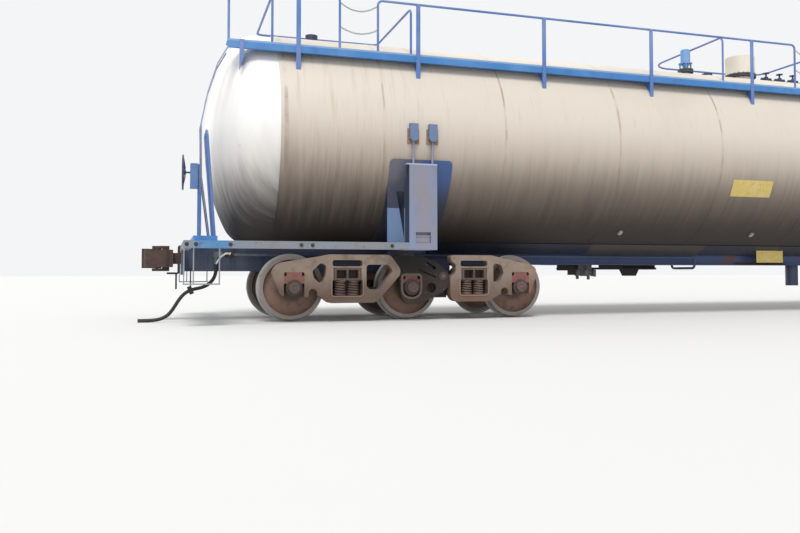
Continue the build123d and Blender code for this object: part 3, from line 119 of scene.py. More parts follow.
class Finish:
    """A painted or cast surface, laid on coat by coat in the piece's own coordinates."""

    def __init__(self, name, colour, rough=0.5, metal=0.0):
        self.mat = bpy.data.materials.new(name)
        self.mat.use_nodes = True
        self.tree = self.mat.node_tree
        self.shader = self.tree.nodes["Principled BSDF"]
        self.shader.inputs["Metallic"].default_value = metal
        self.place = add(self.tree, "ShaderNodeTexCoord").outputs["Object"]
        axes = add(self.tree, "ShaderNodeSeparateXYZ", {0: self.place}).outputs
        self.up = axes["Z"]
        # Both ends and both sides are finished alike, so most coats go by these two
        self.along, self.across = (
            add(self.tree, "ShaderNodeMath", {0: axes[axis]}, operation="ABSOLUTE").outputs[0]
            for axis in "XY"
        )
        self.colour, self.rough, self.normal = linear(colour), rough, None

    def coat(self, colour, *where, rough=None, cover=1.0):
        """Lay a colour where each field goes from its first value to its second."""
        share = cover
        for field, start, full in where:
            rise = add(
                self.tree,
                "ShaderNodeMapRange",
                {"Value": field, "From Min": start, "From Max": full, "To Max": share},
                interpolation_type="SMOOTHSTEP",
            )
            share = rise.outputs["Result"]
        inputs = {0: share, 6: self.colour, 7: linear(colour)}
        self.colour = add(self.tree, "ShaderNodeMix", inputs, data_type="RGBA").outputs[2]
        if rough is not None:
            inputs = {0: share, 2: self.rough, 3: rough}
            self.rough = add(self.tree, "ShaderNodeMix", inputs, data_type="FLOAT").outputs[0]

    def mottle(self, size, detail=5.0, stretch=(1, 1, 1), rough=0.55, place=None):
        """Uneven field from 0 to 1, with patches of a size in millimetres; a stretch over
        1 makes them narrower along its axis, one under 1 draws them out."""
        vector = place or self.place
        drawn = add(self.tree, "ShaderNodeMapping", {"Vector": vector, "Scale": stretch})
        inputs = {
            "Vector": drawn.outputs[0],
            "Scale": 1 / (size * MM),
            "Detail": detail,
            "Roughness": rough,
        }
        return add(self.tree, "ShaderNodeTexNoise", inputs).outputs["Fac"]

    def swayed(self, field, sway):
        """Height above the rail, shifted up and down by a field so that no line is level."""
        inputs = {0: field, 1: sway, 2: self.up}
        return add(self.tree, "ShaderNodeMath", inputs, operation="MULTIPLY_ADD").outputs[0]

    def off(self, field, value):
        """How far a field is from a value, to either side."""
        gap = add(self.tree, "ShaderNodeMath", {0: field, 1: value}, operation="SUBTRACT")
        inputs = {0: gap.outputs[0]}
        return add(self.tree, "ShaderNodeMath", inputs, operation="ABSOLUTE").outputs[0]

    def reach(self, x, z):
        """Distance in side view from a point, alike at both ends of the car."""
        here = add(self.tree, "ShaderNodeCombineXYZ", {0: self.along, 2: self.up})
        inputs = {0: here.outputs[0], 1: (x, 0, z)}
        return add(self.tree, "ShaderNodeVectorMath", inputs, operation="DISTANCE").outputs[1]

    def relief(self, size, height, strength, detail=4.0, stretch=(1, 1, 1)):
        """Dents or grain of a size and a height in millimetres."""
        field = self.mottle(size, detail, stretch)
        inputs = {"Height": field, "Distance": height * MM, "Strength": strength}
        if self.normal:
            inputs["Normal"] = self.normal
        self.normal = add(self.tree, "ShaderNodeBump", inputs).outputs[0]

    def brush_marks(self, size=22, height=0.8, strength=0.6):
        """Uneven film of brushed enamel, drawn 2 cm wide because real marks would not show."""
        self.relief(size, height, strength)

    def sand_skin(self):
        """Skin of a sand casting: low waves, and grain drawn 8 mm wide so that it shows."""
        self.relief(8.3, 1.2, 0.8)
        self.relief(71, 4, 0.5)

    def done(self):
        for socket, source in (
            ("Base Color", self.colour),
            ("Roughness", self.rough),
            ("Normal", self.normal),
        ):
            if isinstance(source, bpy.types.NodeSocket):
                self.tree.links.new(source, self.shader.inputs[socket])
            elif source is not None:
                self.shader.inputs[socket].default_value = source
        return self.mat


# Heights over the rail where a mark starts on the tank, and where it is full
# Painted sunlight: the top of the tank is lighter
SUNLIT_TOP = (3.4, 4.2)
# Grime and soot lower down on the tank and its heads, darkened further as painted shade
GRIME_AND_SHADE, SOOT_AND_SHADE = (3.3, 2.1), (2.75, 1.6)
HEAD_GRIME_AND_SHADE, HEAD_SOOT_AND_SHADE = (3.2, 2.0), (2.6, 1.65)
# How far streaks pull those marks up and down, in metres
STREAK_SWAY = 0.6


def jacket_paint(name, worn=0.0):
    """Cream alkyd paint sprayed on rolled steel sheet: satin, streaked by rain, painted sunlight
    on top, grime, soot and painted shade below.
    """
    f = Finish(name, "#cfc5b8", 0.45)
    streaks = f.mottle(333, 6, (4.0, 0.3, 0.3), 0.6)
    # Rain and dirt run harder down the ends than down the middle
    inputs = {"Value": f.along, "From Min": 6.0, "From Max": 7.2, "To Min": 0.45}
    harder = add(f.tree, "ShaderNodeMapRange", inputs).outputs["Result"]
    inputs = {0: harder, 2: 0.5, 3: streaks}
    streaks = add(f.tree, "ShaderNodeMix", inputs, data_type="FLOAT").outputs[0]
    height = f.swayed(streaks, STREAK_SWAY)
    if worn:
        f.coat("#7d6b5a", (f.mottle(400), 0.35, 0.65), rough=0.7, cover=worn)
    # Painted sunlight on the top of the tank
    f.coat("#e4dbcd", (f.up, *SUNLIT_TOP), cover=0.9)
    f.coat("#b9ab9a", (f.mottle(2000, 5, (0.5, 1, 1)), 0.45, 0.75), cover=0.5)
    f.coat("#a39280", (streaks, 0.5, 0.8), rough=0.55, cover=0.45)
    # Grime and soot, with painted shade, darker toward the bottom
    f.coat("#8f8073", (height, *GRIME_AND_SHADE), rough=0.6, cover=0.95)
    f.coat("#231b1a", (height, *SOOT_AND_SHADE), rough=0.7, cover=0.95)
    f.coat("#6e5545", (f.mottle(111, 4, (5.0, 0.25, 0.25)), 0.62, 0.8), rough=0.7, cover=0.3)
    # Sheet that is not quite flat, and the orange peel of a sprayed coat, drawn 17 mm wide
    f.relief(1110, 20, 0.35, 3, (1, 0.6, 0.6))
    f.relief(17, 0.6, 0.5, 3)
    return f.done()


# Streaks fan out over a head from about this place on the tank's axis
FAN_X = 6.85


def head_paint():
    """White paint on pressed heads: streaks run down from the crown, soot and painted shade darken
    it below.
    """
    f = Finish("dusty white head paint", "#efede9", 0.45)
    out = add(f.tree, "ShaderNodeMath", {0: f.along, 1: FAN_X}, operation="SUBTRACT")
    inputs = {0: f.across, 1: out.outputs[0]}
    turn = add(f.tree, "ShaderNodeMath", inputs, operation="ARCTAN2")
    fan = add(f.tree, "ShaderNodeCombineXYZ", {0: turn.outputs[0], 2: f.up}).outputs[0]
    streaks = f.mottle(250, 6, (6.0, 1.0, 0.3), 0.6, fan)
    height = f.swayed(streaks, STREAK_SWAY)
    f.coat("#cbc6be", (streaks, 0.5, 0.8), rough=0.5, cover=0.2)
    # Grime and soot, with painted shade, darker toward the bottom
    f.coat("#a29a94", (height, *HEAD_GRIME_AND_SHADE), rough=0.6, cover=0.65)
    f.coat("#261f1e", (height, *HEAD_SOOT_AND_SHADE), rough=0.7, cover=0.97)
    f.coat("#84634a", (f.mottle(167, 5, (0.3, 1, 1)), 0.66, 0.8), rough=0.7, cover=0.25)
    # Long low waves that pressing left
    f.relief(833, 12, 0.4, 3)
    return f.done()


def blue_paint(name, colour, faded, grime, rust="#6b4a3a"):
    """Alkyd enamel brushed on plate: chalked in patches, run with grime, rusting in spots."""
    f = Finish(name, colour, 0.45)
    f.coat(faded, (f.mottle(770), 0.4, 0.7), rough=0.6, cover=0.7)
    f.coat(grime, (f.mottle(200, 6, (1, 1, 0.3)), 0.52, 0.75), rough=0.7, cover=0.55)
    f.coat(rust, (f.mottle(45.5, 6), 0.64, 0.76), rough=0.8, cover=0.4)
    f.brush_marks()
    return f


COLUMN_HALF = 0.204
TOP_PLATE = 0.02


def column_paint():
    """Columns: light blue enamel under rosy dust, with painted shade on their sides and a pale top
    plate.
    """
    f = blue_paint("dusty blue column paint", "#7886a5", "#857e80", "#6d6570", "#7a5a4a")
    offset = f.off(f.along, TRUCK_X)
    f.coat("#8a807f", (offset, 0.19, 0.0), rough=0.6, cover=0.55)
    # Painted shade: the sides of each column are dark
    f.coat("#2d3348", above(offset, COLUMN_HALF, 0.0005), rough=0.6, cover=0.9)
    f.coat("#9fb2d2", above(f.up, COLUMN_TOP - TOP_PLATE, 0.005), rough=0.5, cover=0.8)
    return f.done()


WALKWAY_LIP = 0.025


def walkway_paint():
    """Walkway: bright blue enamel, with a painted highlight along its upper lip."""
    f = blue_paint("bright blue walkway paint", "#3a76b4", "#5f8fc2", "#35588c", "#5e4a44")
    # Painted highlight along the upper lip
    f.coat("#84a2c4", above(f.up, WALKWAY_TOP - WALKWAY_LIP), rough=0.5, cover=0.85)
    return f.done()


RODS_END = 2.52


def rod_paint():
    """Tie rods: rods greyed by weather under dull blue blocks."""
    f = blue_paint("greyed tie rod paint", "#5f7396", "#6f7d95", "#3d465c", "#54392e")
    f.coat("#8a8996", below(f.up, RODS_END, 0.005), rough=0.5, cover=0.85)
    return f.done()


# The end of each side sill has a panel that was painted again, from and to these places
PANEL_START, PANEL_STOP = 9.52, 9.96


def side_sill_paint():
    """Side sills: greyed enamel, bright blue where the end panel was painted again."""
    f = Finish("greyed blue sill paint", "#79828c", 0.5)
    f.coat("#827f80", (f.mottle(910), 0.42, 0.7), rough=0.6, cover=0.7)
    f.coat("#6e6c70", (f.mottle(167, 6, (1, 1, 0.4)), 0.5, 0.75), rough=0.7, cover=0.6)
    panel = (above(f.along, PANEL_START, 0.01), below(f.along, PANEL_STOP, 0.01))
    f.coat("#4a7fab", *panel, rough=0.42)
    f.coat("#7f8a98", (f.along, 9.7, 10.0), (f.mottle(250), 0.4, 0.6), rough=0.6, cover=0.7)
    f.coat("#6b4a3a", (f.mottle(62.5, 6), 0.62, 0.72), rough=0.8, cover=0.7)
    f.brush_marks()
    return f.done()


def centre_sill_paint():
    """Centre sill: blue enamel below, painted shade above, rusting where the outlet drips on it.
    """
    f = blue_paint("sooty centre sill paint", "#2d4069", "#34476e", "#242a3c", "#54392e")
    # Painted shade over the sill above the cradle strips, under the belly
    f.coat("#242531", above(f.up, CRADLE_FOOT, 0.005), rough=0.6, cover=0.85)
    rust = (f.mottle(455, 6, (1, 1, 2)), 0.5, 0.62)
    f.coat("#5a3a2e", rust, (f.along, 1.4, 0.6), cover=0.8)
    f.coat("#3d2c28", (f.along, 0.62, 0.5), (f.up, 0.89, 0.86), rough=0.8, cover=0.85)
    return f.done()


# Stretch of the cradle strips that was left without blue
BARE_START, BARE_STOP = 1.39, 3.61


def cradle_paint():
    """Strips between sill and belly: navy darkened as painted shade of the belly, brown where they
    were left unpainted.
    """
    # Painted shade: the strips are a near black navy
    f = blue_paint("sooty cradle paint", "#262834", "#2d3145", "#1d1c22", "#54392e")
    bare = (above(f.along, BARE_START, 0.01), below(f.along, BARE_STOP, 0.01))
    f.coat("#45403c", *bare, rough=0.7, cover=0.9)
    return f.done()


def draft_sill_paint():
    """Draft sills: the same navy, with painted sunlight in grey-blue patches toward the ends."""
    f = blue_paint("sunlit draft sill paint", "#2b3552", "#3f4a66", "#23232d", "#54392e")
    # Painted sunlight: grey-blue patches toward the ends
    sunlit_patches = (f.mottle(333, 5, (4, 1, 0.4)), 0.25, 0.7)
    f.coat("#5a6472", (f.along, 8.9, 9.6), sunlit_patches, cover=0.8)
    return f.done()


def pipe_paint():
    """Brake pipe: navy like the sill, greyed by dust where it comes out at the ends."""
    f = blue_paint("dusty pipe paint", "#26355a", "#34476e", "#242a3c", "#54392e")
    f.coat("#6d737c", (f.along, 8.4, 9.0), (f.mottle(250), 0.2, 0.5), rough=0.7, cover=0.85)
    return f.done()


# The gusset plates, beside the columns, stand out from the saddle behind them
GUSSET_Y, GUSSET_X, GUSSET_TOP = 1.378, 6.975, 1.9
GUSSET_BLUE_TOP = 1.6


def saddle_paint():
    """Saddle plates: enamel, blue toward mid car, greyed toward its end, darker below."""
    f = Finish("greyed blue saddle paint", "#3e475b", 0.5)
    f.coat("#38548a", (f.along, 7.0, 6.75), (f.up, 1.6, 2.0), rough=0.5, cover=0.9)
    f.coat("#6b6a72", (f.mottle(625), 0.42, 0.72), (f.along, 6.8, 7.0), rough=0.6, cover=0.7)
    f.coat("#1e2233", (f.up, 2.1, 1.4), rough=0.7, cover=0.8)
    # The gusset is blue only in its lower part, lighter there as painted sunlight; above that it
    # is dark like the saddle, as painted shade
    gusset = (above(f.across, GUSSET_Y, 0.002), above(f.along, GUSSET_X, 0.025))
    f.coat("#657c9f", *gusset, below(f.up, GUSSET_BLUE_TOP), rough=0.5, cover=0.9)
    shadowed = (above(f.up, GUSSET_BLUE_TOP), below(f.up, GUSSET_TOP, 0.005))
    f.coat("#282d40", *gusset, *shadowed, rough=0.6, cover=0.8)
    f.coat("#6d5240", (f.mottle(83.3, 6), 0.64, 0.76), rough=0.8, cover=0.35)
    f.brush_marks()
    return f.done()


LADDER_HALF = 0.15


def ladder_paint():
    """Ladder: pale grey-blue bars, grimed dark lower down, with dark rungs."""
    f = Finish("grey-blue ladder paint", "#8b97ab", 0.5)
    f.coat("#6f86b0", (f.mottle(250), 0.45, 0.7), rough=0.5, cover=0.6)
    f.coat("#3d4d74", (f.up, 3.0, 1.5), rough=0.6, cover=0.8)
    rungs = below(f.off(f.across, LADDER_Y), LADDER_HALF, 0.001)
    f.coat("#33363f", rungs, rough=0.7, cover=0.85)
    f.coat("#6d5240", (f.mottle(55.6, 6), 0.62, 0.74), rough=0.8, cover=0.6)
    f.brush_marks(22, 0.6, 0.5)
    return f.done()


def flanged_paint(name, colour, low, high):
    """Enamelled fitting with bolted flanges of dark iron, between two heights on the crown."""
    f = Finish(name, colour, 0.45)
    f.coat("#b7ab97", (f.mottle(333, 5, (1, 1, 0.3)), 0.45, 0.75), rough=0.6, cover=0.35)
    low, high = CROWN_Z + low - 0.0015, CROWN_Z + high + 0.0015
    f.coat("#39373b", above(f.up, low, 0.0015), below(f.up, high, 0.0015), rough=0.6)
    f.coat("#6b4a3a", (f.mottle(50, 6), 0.64, 0.76), rough=0.8, cover=0.5)
    f.brush_marks(20, 0.6, 0.6)
    return f.done()


def cast_steel(name, colour, rust, soot, finer=1.0):
    """Sand-cast steel: rough and matt, rusty brown with soot in its hollows."""
    f = Finish(name, colour, 0.78, 0.1)
    f.coat(rust, (f.mottle(286 / finer, 6), 0.4, 0.68), rough=0.85, cover=0.75)
    f.coat(soot, (f.mottle(111 / finer, 6), 0.5, 0.75), rough=0.7, cover=0.6)
    f.coat("#a08b78", (f.mottle(25 / finer, 3), 0.6, 0.75), rough=0.8, cover=0.25)
    f.sand_skin()
    return f


# How far out the face of an arm's rim is, the place of its pin, and radii of boss and pin
ARM_RIM = (1.0402, 1.0409)
ARM_PIN_X, ARM_PIN_Z = TRUCK_X - 0.484, 0.6404
BOSS_R, PIN_R = 0.062, 0.026


def arm_steel():
    """Middle arms: dark castings with painted shade over their upper part and a painted highlight
    on the raised rim; boss dark, pin bright.
    """
    f = cast_steel("dark cast arm steel", "#332a28", "#43352f", "#1f1918")
    # Painted shade over the upper part
    f.coat("#191413", (f.up, 0.6, 0.76), rough=0.8, cover=0.85)
    # Painted highlight along the raised rim
    f.coat("#7d6e64", (f.across, *ARM_RIM), cover=0.75)
    pin = f.reach(ARM_PIN_X, ARM_PIN_Z)
    f.coat("#413733", (pin, BOSS_R + 0.004, BOSS_R), cover=0.85)
    f.coat("#6a6166", (pin, PIN_R + 0.002, PIN_R), cover=0.8)
    return f.done()


CASTING_LIP_Y = 1.089


def side_frame_steel():
    """Side castings: dusty tan on the upper faces, browner below, lips rubbed pale."""
    f = Finish("dusty tan cast truck steel", "#86766a", 0.8, 0.05)
    f.coat("#958373", (f.mottle(400, 6), 0.4, 0.68), rough=0.85, cover=0.7)
    f.coat("#5d4c45", (f.mottle(125, 6), 0.5, 0.75), rough=0.75, cover=0.6)
    f.coat("#4e403a", (f.up, 0.75, 0.3), rough=0.8, cover=0.65)
    f.coat("#6b4a3a", (f.mottle(455, 6), 0.48, 0.66), (f.up, 0.65, 0.45), cover=0.45)
    f.coat("#6e4330", (f.mottle(28.6, 4), 0.62, 0.75), rough=0.85, cover=0.45)
    f.coat("#8a5442", (f.mottle(590, 4), 0.58, 0.72), rough=0.85, cover=0.35)
    f.coat("#a08f7e", above(f.across, CASTING_LIP_Y, 0.001), rough=0.8, cover=0.4)
    f.sand_skin()
    return f.done()


# Radii of a wheel where its hub's grease ends, its rim begins and its tread begins
HUB_GREASE, RIM_INSIDE, TREAD = (0.24, 0.16), 0.396, 0.4515
AXLE_CAP_Y = 1.098


def wheel_steel():
    """Rolled steel wheels: pale rim, bright tread, rusty plate, dark greasy hub."""
    f = Finish("rolled wheel steel", "#7d6356", 0.7, 0.2)
    f.coat("#8a6a58", (f.mottle(200, 6), 0.42, 0.7), rough=0.8, cover=0.7)
    f.coat("#453731", (f.mottle(91), 0.5, 0.75), rough=0.7, cover=0.6)
    nearest = None
    for step in (-AXLE_STEP, 0, AXLE_STEP):
        radius = f.reach(TRUCK_X + step, AXLE_Z)
        if nearest:
            inputs = {0: nearest, 1: radius}
            radius = add(f.tree, "ShaderNodeMath", inputs, operation="MINIMUM").outputs[0]
        nearest = radius
    f.coat("#3a302c", (nearest, *HUB_GREASE), rough=0.6, cover=0.75)
    f.coat("#84807d", above(nearest, RIM_INSIDE, 0.004), rough=0.5, cover=0.75)
    f.coat("#a5a3a1", above(nearest, TREAD, 0.0015), rough=0.3, cover=0.8)
    f.coat("#665450", above(f.across, AXLE_CAP_Y, 0.002), rough=0.7, cover=0.85)
    # Mill scale and pits, drawn 14 mm wide so that they show
    f.relief(14, 1, 0.6)
    return f.done()


def hose_rubber():
    """Extruded hose rubber: near black and matt, dusted brown."""
    f = Finish("black hose rubber", "#1d1c1c", 0.62)
    f.coat("#4a443d", (f.mottle(40, 4), 0.5, 0.75), rough=0.8, cover=0.5)
    f.relief(3.3, 0.5, 0.5, 2)
    return f.done()


def sign_paint():
    """Yellow sign enamel, chalked by the sun and rubbed through in spots."""
    f = Finish("faded yellow sign paint", "#d0b768", 0.5)
    f.coat("#d3c7a0", (f.mottle(83.3), 0.45, 0.75), rough=0.6, cover=0.7)
    f.coat("#6b5138", (f.mottle(33.3), 0.58, 0.72), rough=0.8, cover=0.55)
    return f.done()


# Paint of the tank, its fittings and the body
jacket = jacket_paint("weathered cream jacket paint")
band = jacket_paint("grimed jacket band paint", 0.6)
head = head_paint()
blue = blue_paint("faded blue paint", "#4c74ab", "#7d93b5", "#4a566c").done()
navy = blue_paint("shaded navy paint", "#2b3552", "#3f4a66", "#23232d", "#54392e").done()
step_grey = blue_paint("grey step paint", "#82878f", "#90949b", "#55585f").done()
rails = blue_paint("bleached rail paint", "#5273ad", "#8090bb", "#4c5b85", "#5e4a44").done()
worn_white = blue_paint("worn white paint", "#dedbd2", "#c9c4b8", "#8b857a").done()
lug_grey = blue_paint("pale lug primer", "#9a9291", "#a79f9b", "#6c6361").done()
column = column_paint()
bright = walkway_paint()
rods = rod_paint()
pipe = pipe_paint()
saddle = saddle_paint()
side_sills = side_sill_paint()
centre_sill = centre_sill_paint()
draft_sills = draft_sill_paint()
cradle = cradle_paint()
ladder = ladder_paint()
drum = flanged_paint("cream manway paint", "#e4dccd", 0.05, 0.112)
valve_blue = flanged_paint("sky blue valve paint", "#5b9bd8", 0.06, 0.129)
sign = sign_paint()

# Bare steel and rubber of the trucks, couplers and brake gear
frames = side_frame_steel()
arms = arm_steel()
wheel = wheel_steel()
rubber = hose_rubber()
casting = cast_steel("rusty cast truck steel", "#574a44", "#6a5247", "#332b2a").done()
adapter = cast_steel("reddish adapter casting", "#7a4d48", "#855d56", "#453130", 2.0).done()
bearing = cast_steel("greasy bearing steel", "#453b39", "#5a4a44", "#241f1e", 2.0).done()
coupler_steel = cast_steel("rusty coupler casting", "#453530", "#5c443a", "#2a2322", 2.0).done()
cap_steel = cast_steel("dusty cap steel", "#6c5856", "#7a645f", "#3e3130", 3.0).done()
springs = cast_steel("oiled spring steel", "#5c4d49", "#7a5f52", "#2c2523", 3.0).done()
dark = cast_steel("dark pipe iron", "#3a3535", "#4c3f39", "#1d1b1b", 3.0).done()
valve_iron = cast_steel("dusty valve casting", "#5b5a60", "#66605f", "#34333a", 3.0).done()
soot = cast_steel("sooty rigging steel", "#1f1c1c", "#2a2523", "#151313", 3.0).done()
pad_steel = cast_steel("rusty pad plate", "#8a725f", "#94694f", "#4f4038", 3.0).done()

BODY_NODES = (
    (jacket, "tank_jacket"),
    (head, "tank_heads"),
    (saddle, "saddles"),
    (centre_sill, "centre_sill"),
    (draft_sills, "draft_sills"),
    (column, "body_bolsters"),
    (rods, "tie_rods"),
    (side_sills, "end_frames"),
    (bright, "end_platforms", "walkway"),
    (step_grey, "corner_steps"),
    (ladder, "ladders"),
    (rails, "end_rails", "stanchion_posts", "handrails", "guard_rails"),
    (drum, "manway"),
    (valve_blue, "safety_valve"),
    (navy, "valve_cluster", "bottom_outlet", "air_reservoir", "brake_cylinder", "control_valve"),
    (blue, "hand_brake_gear"),
    (pipe, "brake_pipe"),
    (dark, "uncoupling_levers"),
    (rubber, "hose_clamps"),
)
# These have a node at each end of the car
END_NODES = (
    (frames, "side_frames"),
    (arms, "middle_arms"),
    (casting, "truck_bolster"),
    (bearing, "bearings"),
    (adapter, "adapters"),
    (wheel, "wheelset_1", "wheelset_2", "wheelset_3"),
    (coupler_steel, "coupler", "knuckle"),
    (dark, "brake_beams", "gladhand"),
)


def dress(node, finish):
    for slot in nodes[node].material_slots:
        slot.material = finish


for finish, *names in BODY_NODES:
    for name in names:
        dress(name, finish)
for finish, *names in END_NODES:
    for name in names:
        for end, _ in ENDS:
            dress(f"{name}_{end}", finish)


# Meshes
CREASE = math.radians(35)


def settle(piece, body, replaces=()):
    """Shade a finished piece, and fasten it to the body that carries it."""
    for polygon in piece.data.polygons:
        polygon.use_smooth = True
    piece.data.set_sharp_from_angle(angle=CREASE)
    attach(piece, body)
    if replaces:
        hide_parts(*replaces)


def ring(centre, side, up, radius, count, start=0.0):
    """Points spread evenly round a circle, in the plane of two directions."""
    points = []
    for i in range(count):
        turn = start + 2 * math.pi * i / count
        points.append(centre + (side * math.cos(turn) + up * math.sin(turn)) * radius)
    return points


class Shape:
    """Collects closed solids into one mesh, each with its faces outwards."""

    def __init__(self):
        self.verts = []
        self.faces = []

    def solid(self, verts, faces):
        verts = [Vector(v) for v in verts]
        volume = 0
        for first, *rest in faces:
            for b, c in zip(rest, rest[1:]):
                volume += verts[first].dot(verts[b].cross(verts[c]))
        base = len(self.verts)
        self.verts += verts
        for face in faces:
            turned = face if volume > 0 else tuple(reversed(face))
            self.faces.append(tuple(base + i for i in turned))

    def loft(self, rings):
        """Skin between rings of as many points each, closed at both ends."""
        count = len(rings[0])
        faces = [tuple(reversed(range(count)))]
        for r in range(len(rings) - 1):
            for k in range(count):
                a, b = r * count + k, r * count + (k + 1) % count
                faces.append((a, b, b + count, a + count))
        last = (len(rings) - 1) * count
        faces.append(tuple(range(last, last + count)))
        self.solid([point for points in rings for point in points], faces)

    def tube(self, points, radius, sides=8):
        """Round bar along the points."""
        points = [Vector(p) for p in points]
        rings, side = [], None
        for i, at in enumerate(points):
            ahead = points[min(i + 1, len(points) - 1)] - points[max(i - 1, 0)]
            ahead.normalize()
            if side is None:
                side = ahead.orthogonal()
            side = (side - ahead * side.dot(ahead)).normalized()
            rings.append(ring(at, side, ahead.cross(side), radius, sides))
        self.loft(rings)

    def turned(self, origin, axis, profile, sides=24):
        """Solid of revolution: profile is (along the axis, radius)."""
        origin = Vector(origin)
        side = axis.orthogonal().normalized()
        rings = []
        for along, radius in profile:
            rings.append(ring(origin + axis * along, side, axis.cross(side), radius, sides))
        self.loft(rings)

    def box(self, corner, opposite):
        (a, b, c), (d, e, f) = corner, opposite
        self.loft([[(x, b, c), (x, e, c), (x, e, f), (x, b, f)] for x in (a, d)])

    def side_plate(self, outline, y, thick):
        """Plate cut to an outline of (x, z), standing along the car."""
        self.loft([[(x, y + t, z) for x, z in outline] for t in (-thick / 2, thick / 2)])

    def long_bar(self, outline, x_low, x_high):
        """Bar of an outline of (y, z), running along the car."""
        self.loft([[(x, y, z) for y, z in outline] for x in (x_low, x_high)])

    def laid(self, x_low, x_high, start, stop, thick, sunk=0.02, steps=8):
        """Plate bent to the jacket between two angles, measured from its side upward."""
        rings = []
        for i in range(steps + 1):
            angle = math.radians(start + (stop - start) * i / steps)
            corners = []
            for x, proud in ((x_low, -sunk), (x_high, -sunk), (x_high, thick), (x_low, thick)):
                y, z = -math.cos(angle), math.sin(angle)
                corners.append((x, y * (JACKET_R + proud), TANK_Z + z * (JACKET_R + proud)))
            rings.append(corners)
        self.loft(rings)

    def done(self, name, finish, body, slot, replaces=()):
        mesh = bpy.data.meshes.new(name)
        mesh.from_pydata(self.verts, [], self.faces)
        mesh.materials.append(finish)
        piece = bpy.data.objects.new(name, mesh)
        scene.collection.objects.link(piece)
        settle(piece, body, replaces)


# Geometry trees for what repeats
def new_tree(name, **sizes):
    """Geometry tree with named inputs for its sizes, and what comes in through them."""
    tree = bpy.data.node_groups.new(name, "GeometryNodeTree")
    face = tree.interface
    face.new_socket("Geometry", in_out="INPUT", socket_type="NodeSocketGeometry")
    for label, size in sizes.items():
        kind = "NodeSocketInt" if isinstance(size, int) else "NodeSocketFloat"
        face.new_socket(label, in_out="INPUT", socket_type=kind).default_value = size
    face.new_socket("Finish", in_out="INPUT", socket_type="NodeSocketMaterial")
    face.new_socket("Geometry", in_out="OUTPUT", socket_type="NodeSocketGeometry")
    return tree, add(tree, "NodeGroupInput").outputs


def stand(tree, given, shapes, points=None, facing=None):
    """End a tree: the shapes stand on each point, facing out at the seed's own size."""
    shape = add(tree, "GeometryNodeJoinGeometry")
    for made in shapes:
        tree.links.new(made.outputs[0], shape.inputs[0])
    kind = "GeometryNodeInputNamedAttribute"
    if facing is None:
        out = add(tree, kind, {"Name": "out"}, data_type="FLOAT_VECTOR")
        inputs = {"Vector": out.outputs[0]}
        facing = add(tree, "FunctionNodeAlignRotationToVector", inputs, axis="Z")
    size = add(tree, kind, {"Name": "size"}, data_type="FLOAT_VECTOR")
    inputs = {
        "Points": points or given["Geometry"],
        "Instance": shape.outputs[0],
        "Rotation": facing.outputs[0],
        "Scale": size.outputs[0],
    }
    placed = add(tree, "GeometryNodeInstanceOnPoints", inputs)
    real = add(tree, "GeometryNodeRealizeInstances", {"Geometry": placed.outputs[0]})
    inputs = {"Geometry": real.outputs[0], "Material": given["Finish"]}
    dressed = add(tree, "GeometryNodeSetMaterial", inputs)
    add(tree, "NodeGroupOutput", {"Geometry": dressed.outputs[0]})
    return tree


def bolt_tree():
    """Heads with a drafted side on round washers; more sides and no height make a rivet."""
    tree, given = new_tree(
        "bolts", Radius=0.017, Crown=0.0145, Tall=0.02, Washer=0.026, Plate=0.004, Sides=6
    )
    shapes = []
    for sides, low, high, tall in (
        (given["Sides"], "Radius", "Crown", "Tall"),
        (16, "Washer", "Washer", "Plate"),
    ):
        inputs = {
            "Vertices": sides,
            "Radius Top": given[high],
            "Radius Bottom": given[low],
            "Depth": given[tall],
        }
        shapes.append(add(tree, "GeometryNodeMeshCone", inputs))
    return stand(tree, given, shapes)


def wound(tree, line, profile):
    """Wire or strip of a profile along a line."""
    inputs = {"Curve": line.outputs[0], "Profile Curve": profile.outputs[0], "Fill Caps": True}
    return add(tree, "GeometryNodeCurveToMesh", inputs)


SEAT_THICK = 0.02


def spring_tree():
    """Nests of an outer and an inner coil of round wire between two seats."""
    tree, given = new_tree(
        "coil springs",
        Height=0.195,
        Seat=SEAT_THICK,
        OuterRadius=0.0685,
        OuterWire=0.0135,
        OuterTurns=5.5,
        InnerRadius=0.032,
        InnerWire=0.008,
        InnerTurns=9.0,
    )
    coils = []
    inputs = {0: given["OuterRadius"], 1: given["OuterWire"]}
    reach = add(tree, "ShaderNodeMath", inputs, operation="ADD").outputs[0]
    inputs = {"Vertices": 16, "Radius Top": reach, "Radius Bottom": reach, "Depth": given["Seat"]}
    seat = add(tree, "GeometryNodeMeshCone", inputs)
    for share in (0.0, 1.0):
        inputs = {0: given["Height"], 1: share, 2: -SEAT_THICK / 2}
        lift = add(tree, "ShaderNodeMath", inputs, operation="MULTIPLY_ADD")
        lift = add(tree, "ShaderNodeCombineXYZ", {2: lift.outputs[0]})
        inputs = {"Geometry": seat.outputs[0], "Translation": lift.outputs[0]}
        coils.append(add(tree, "GeometryNodeTransform", inputs))
    for place in ("Outer", "Inner"):
        inputs = {
            "Resolution": 16,
            "Rotations": given[place + "Turns"],
            "Start Radius": given[place + "Radius"],
            "End Radius": given[place + "Radius"],
            "Height": given["Height"],
        }
        line = add(tree, "GeometryNodeCurveSpiral", inputs)
        inputs = {"Resolution": 6, "Radius": given[place + "Wire"]}
        coils.append(wound(tree, line, add(tree, "GeometryNodeCurvePrimitiveCircle", inputs)))
    return stand(tree, given, coils)


def band_tree():
    """Flat bands round the jacket, one at each seed on its axis."""
    tree, given = new_tree("jacket bands", Radius=JACKET_R, Thick=0.02, Wide=0.028, Steps=96)
    inputs = {"Resolution": given["Steps"], "Radius": given["Radius"]}
    line = add(tree, "GeometryNodeCurvePrimitiveCircle", inputs)
    inputs = {0: given["Thick"], 1: given["Wide"]}
    strip = add(tree, "GeometryNodeCurvePrimitiveQuadrilateral", inputs)
    return stand(tree, given, [wound(tree, line, strip)])


LINK_OVAL = 0.6


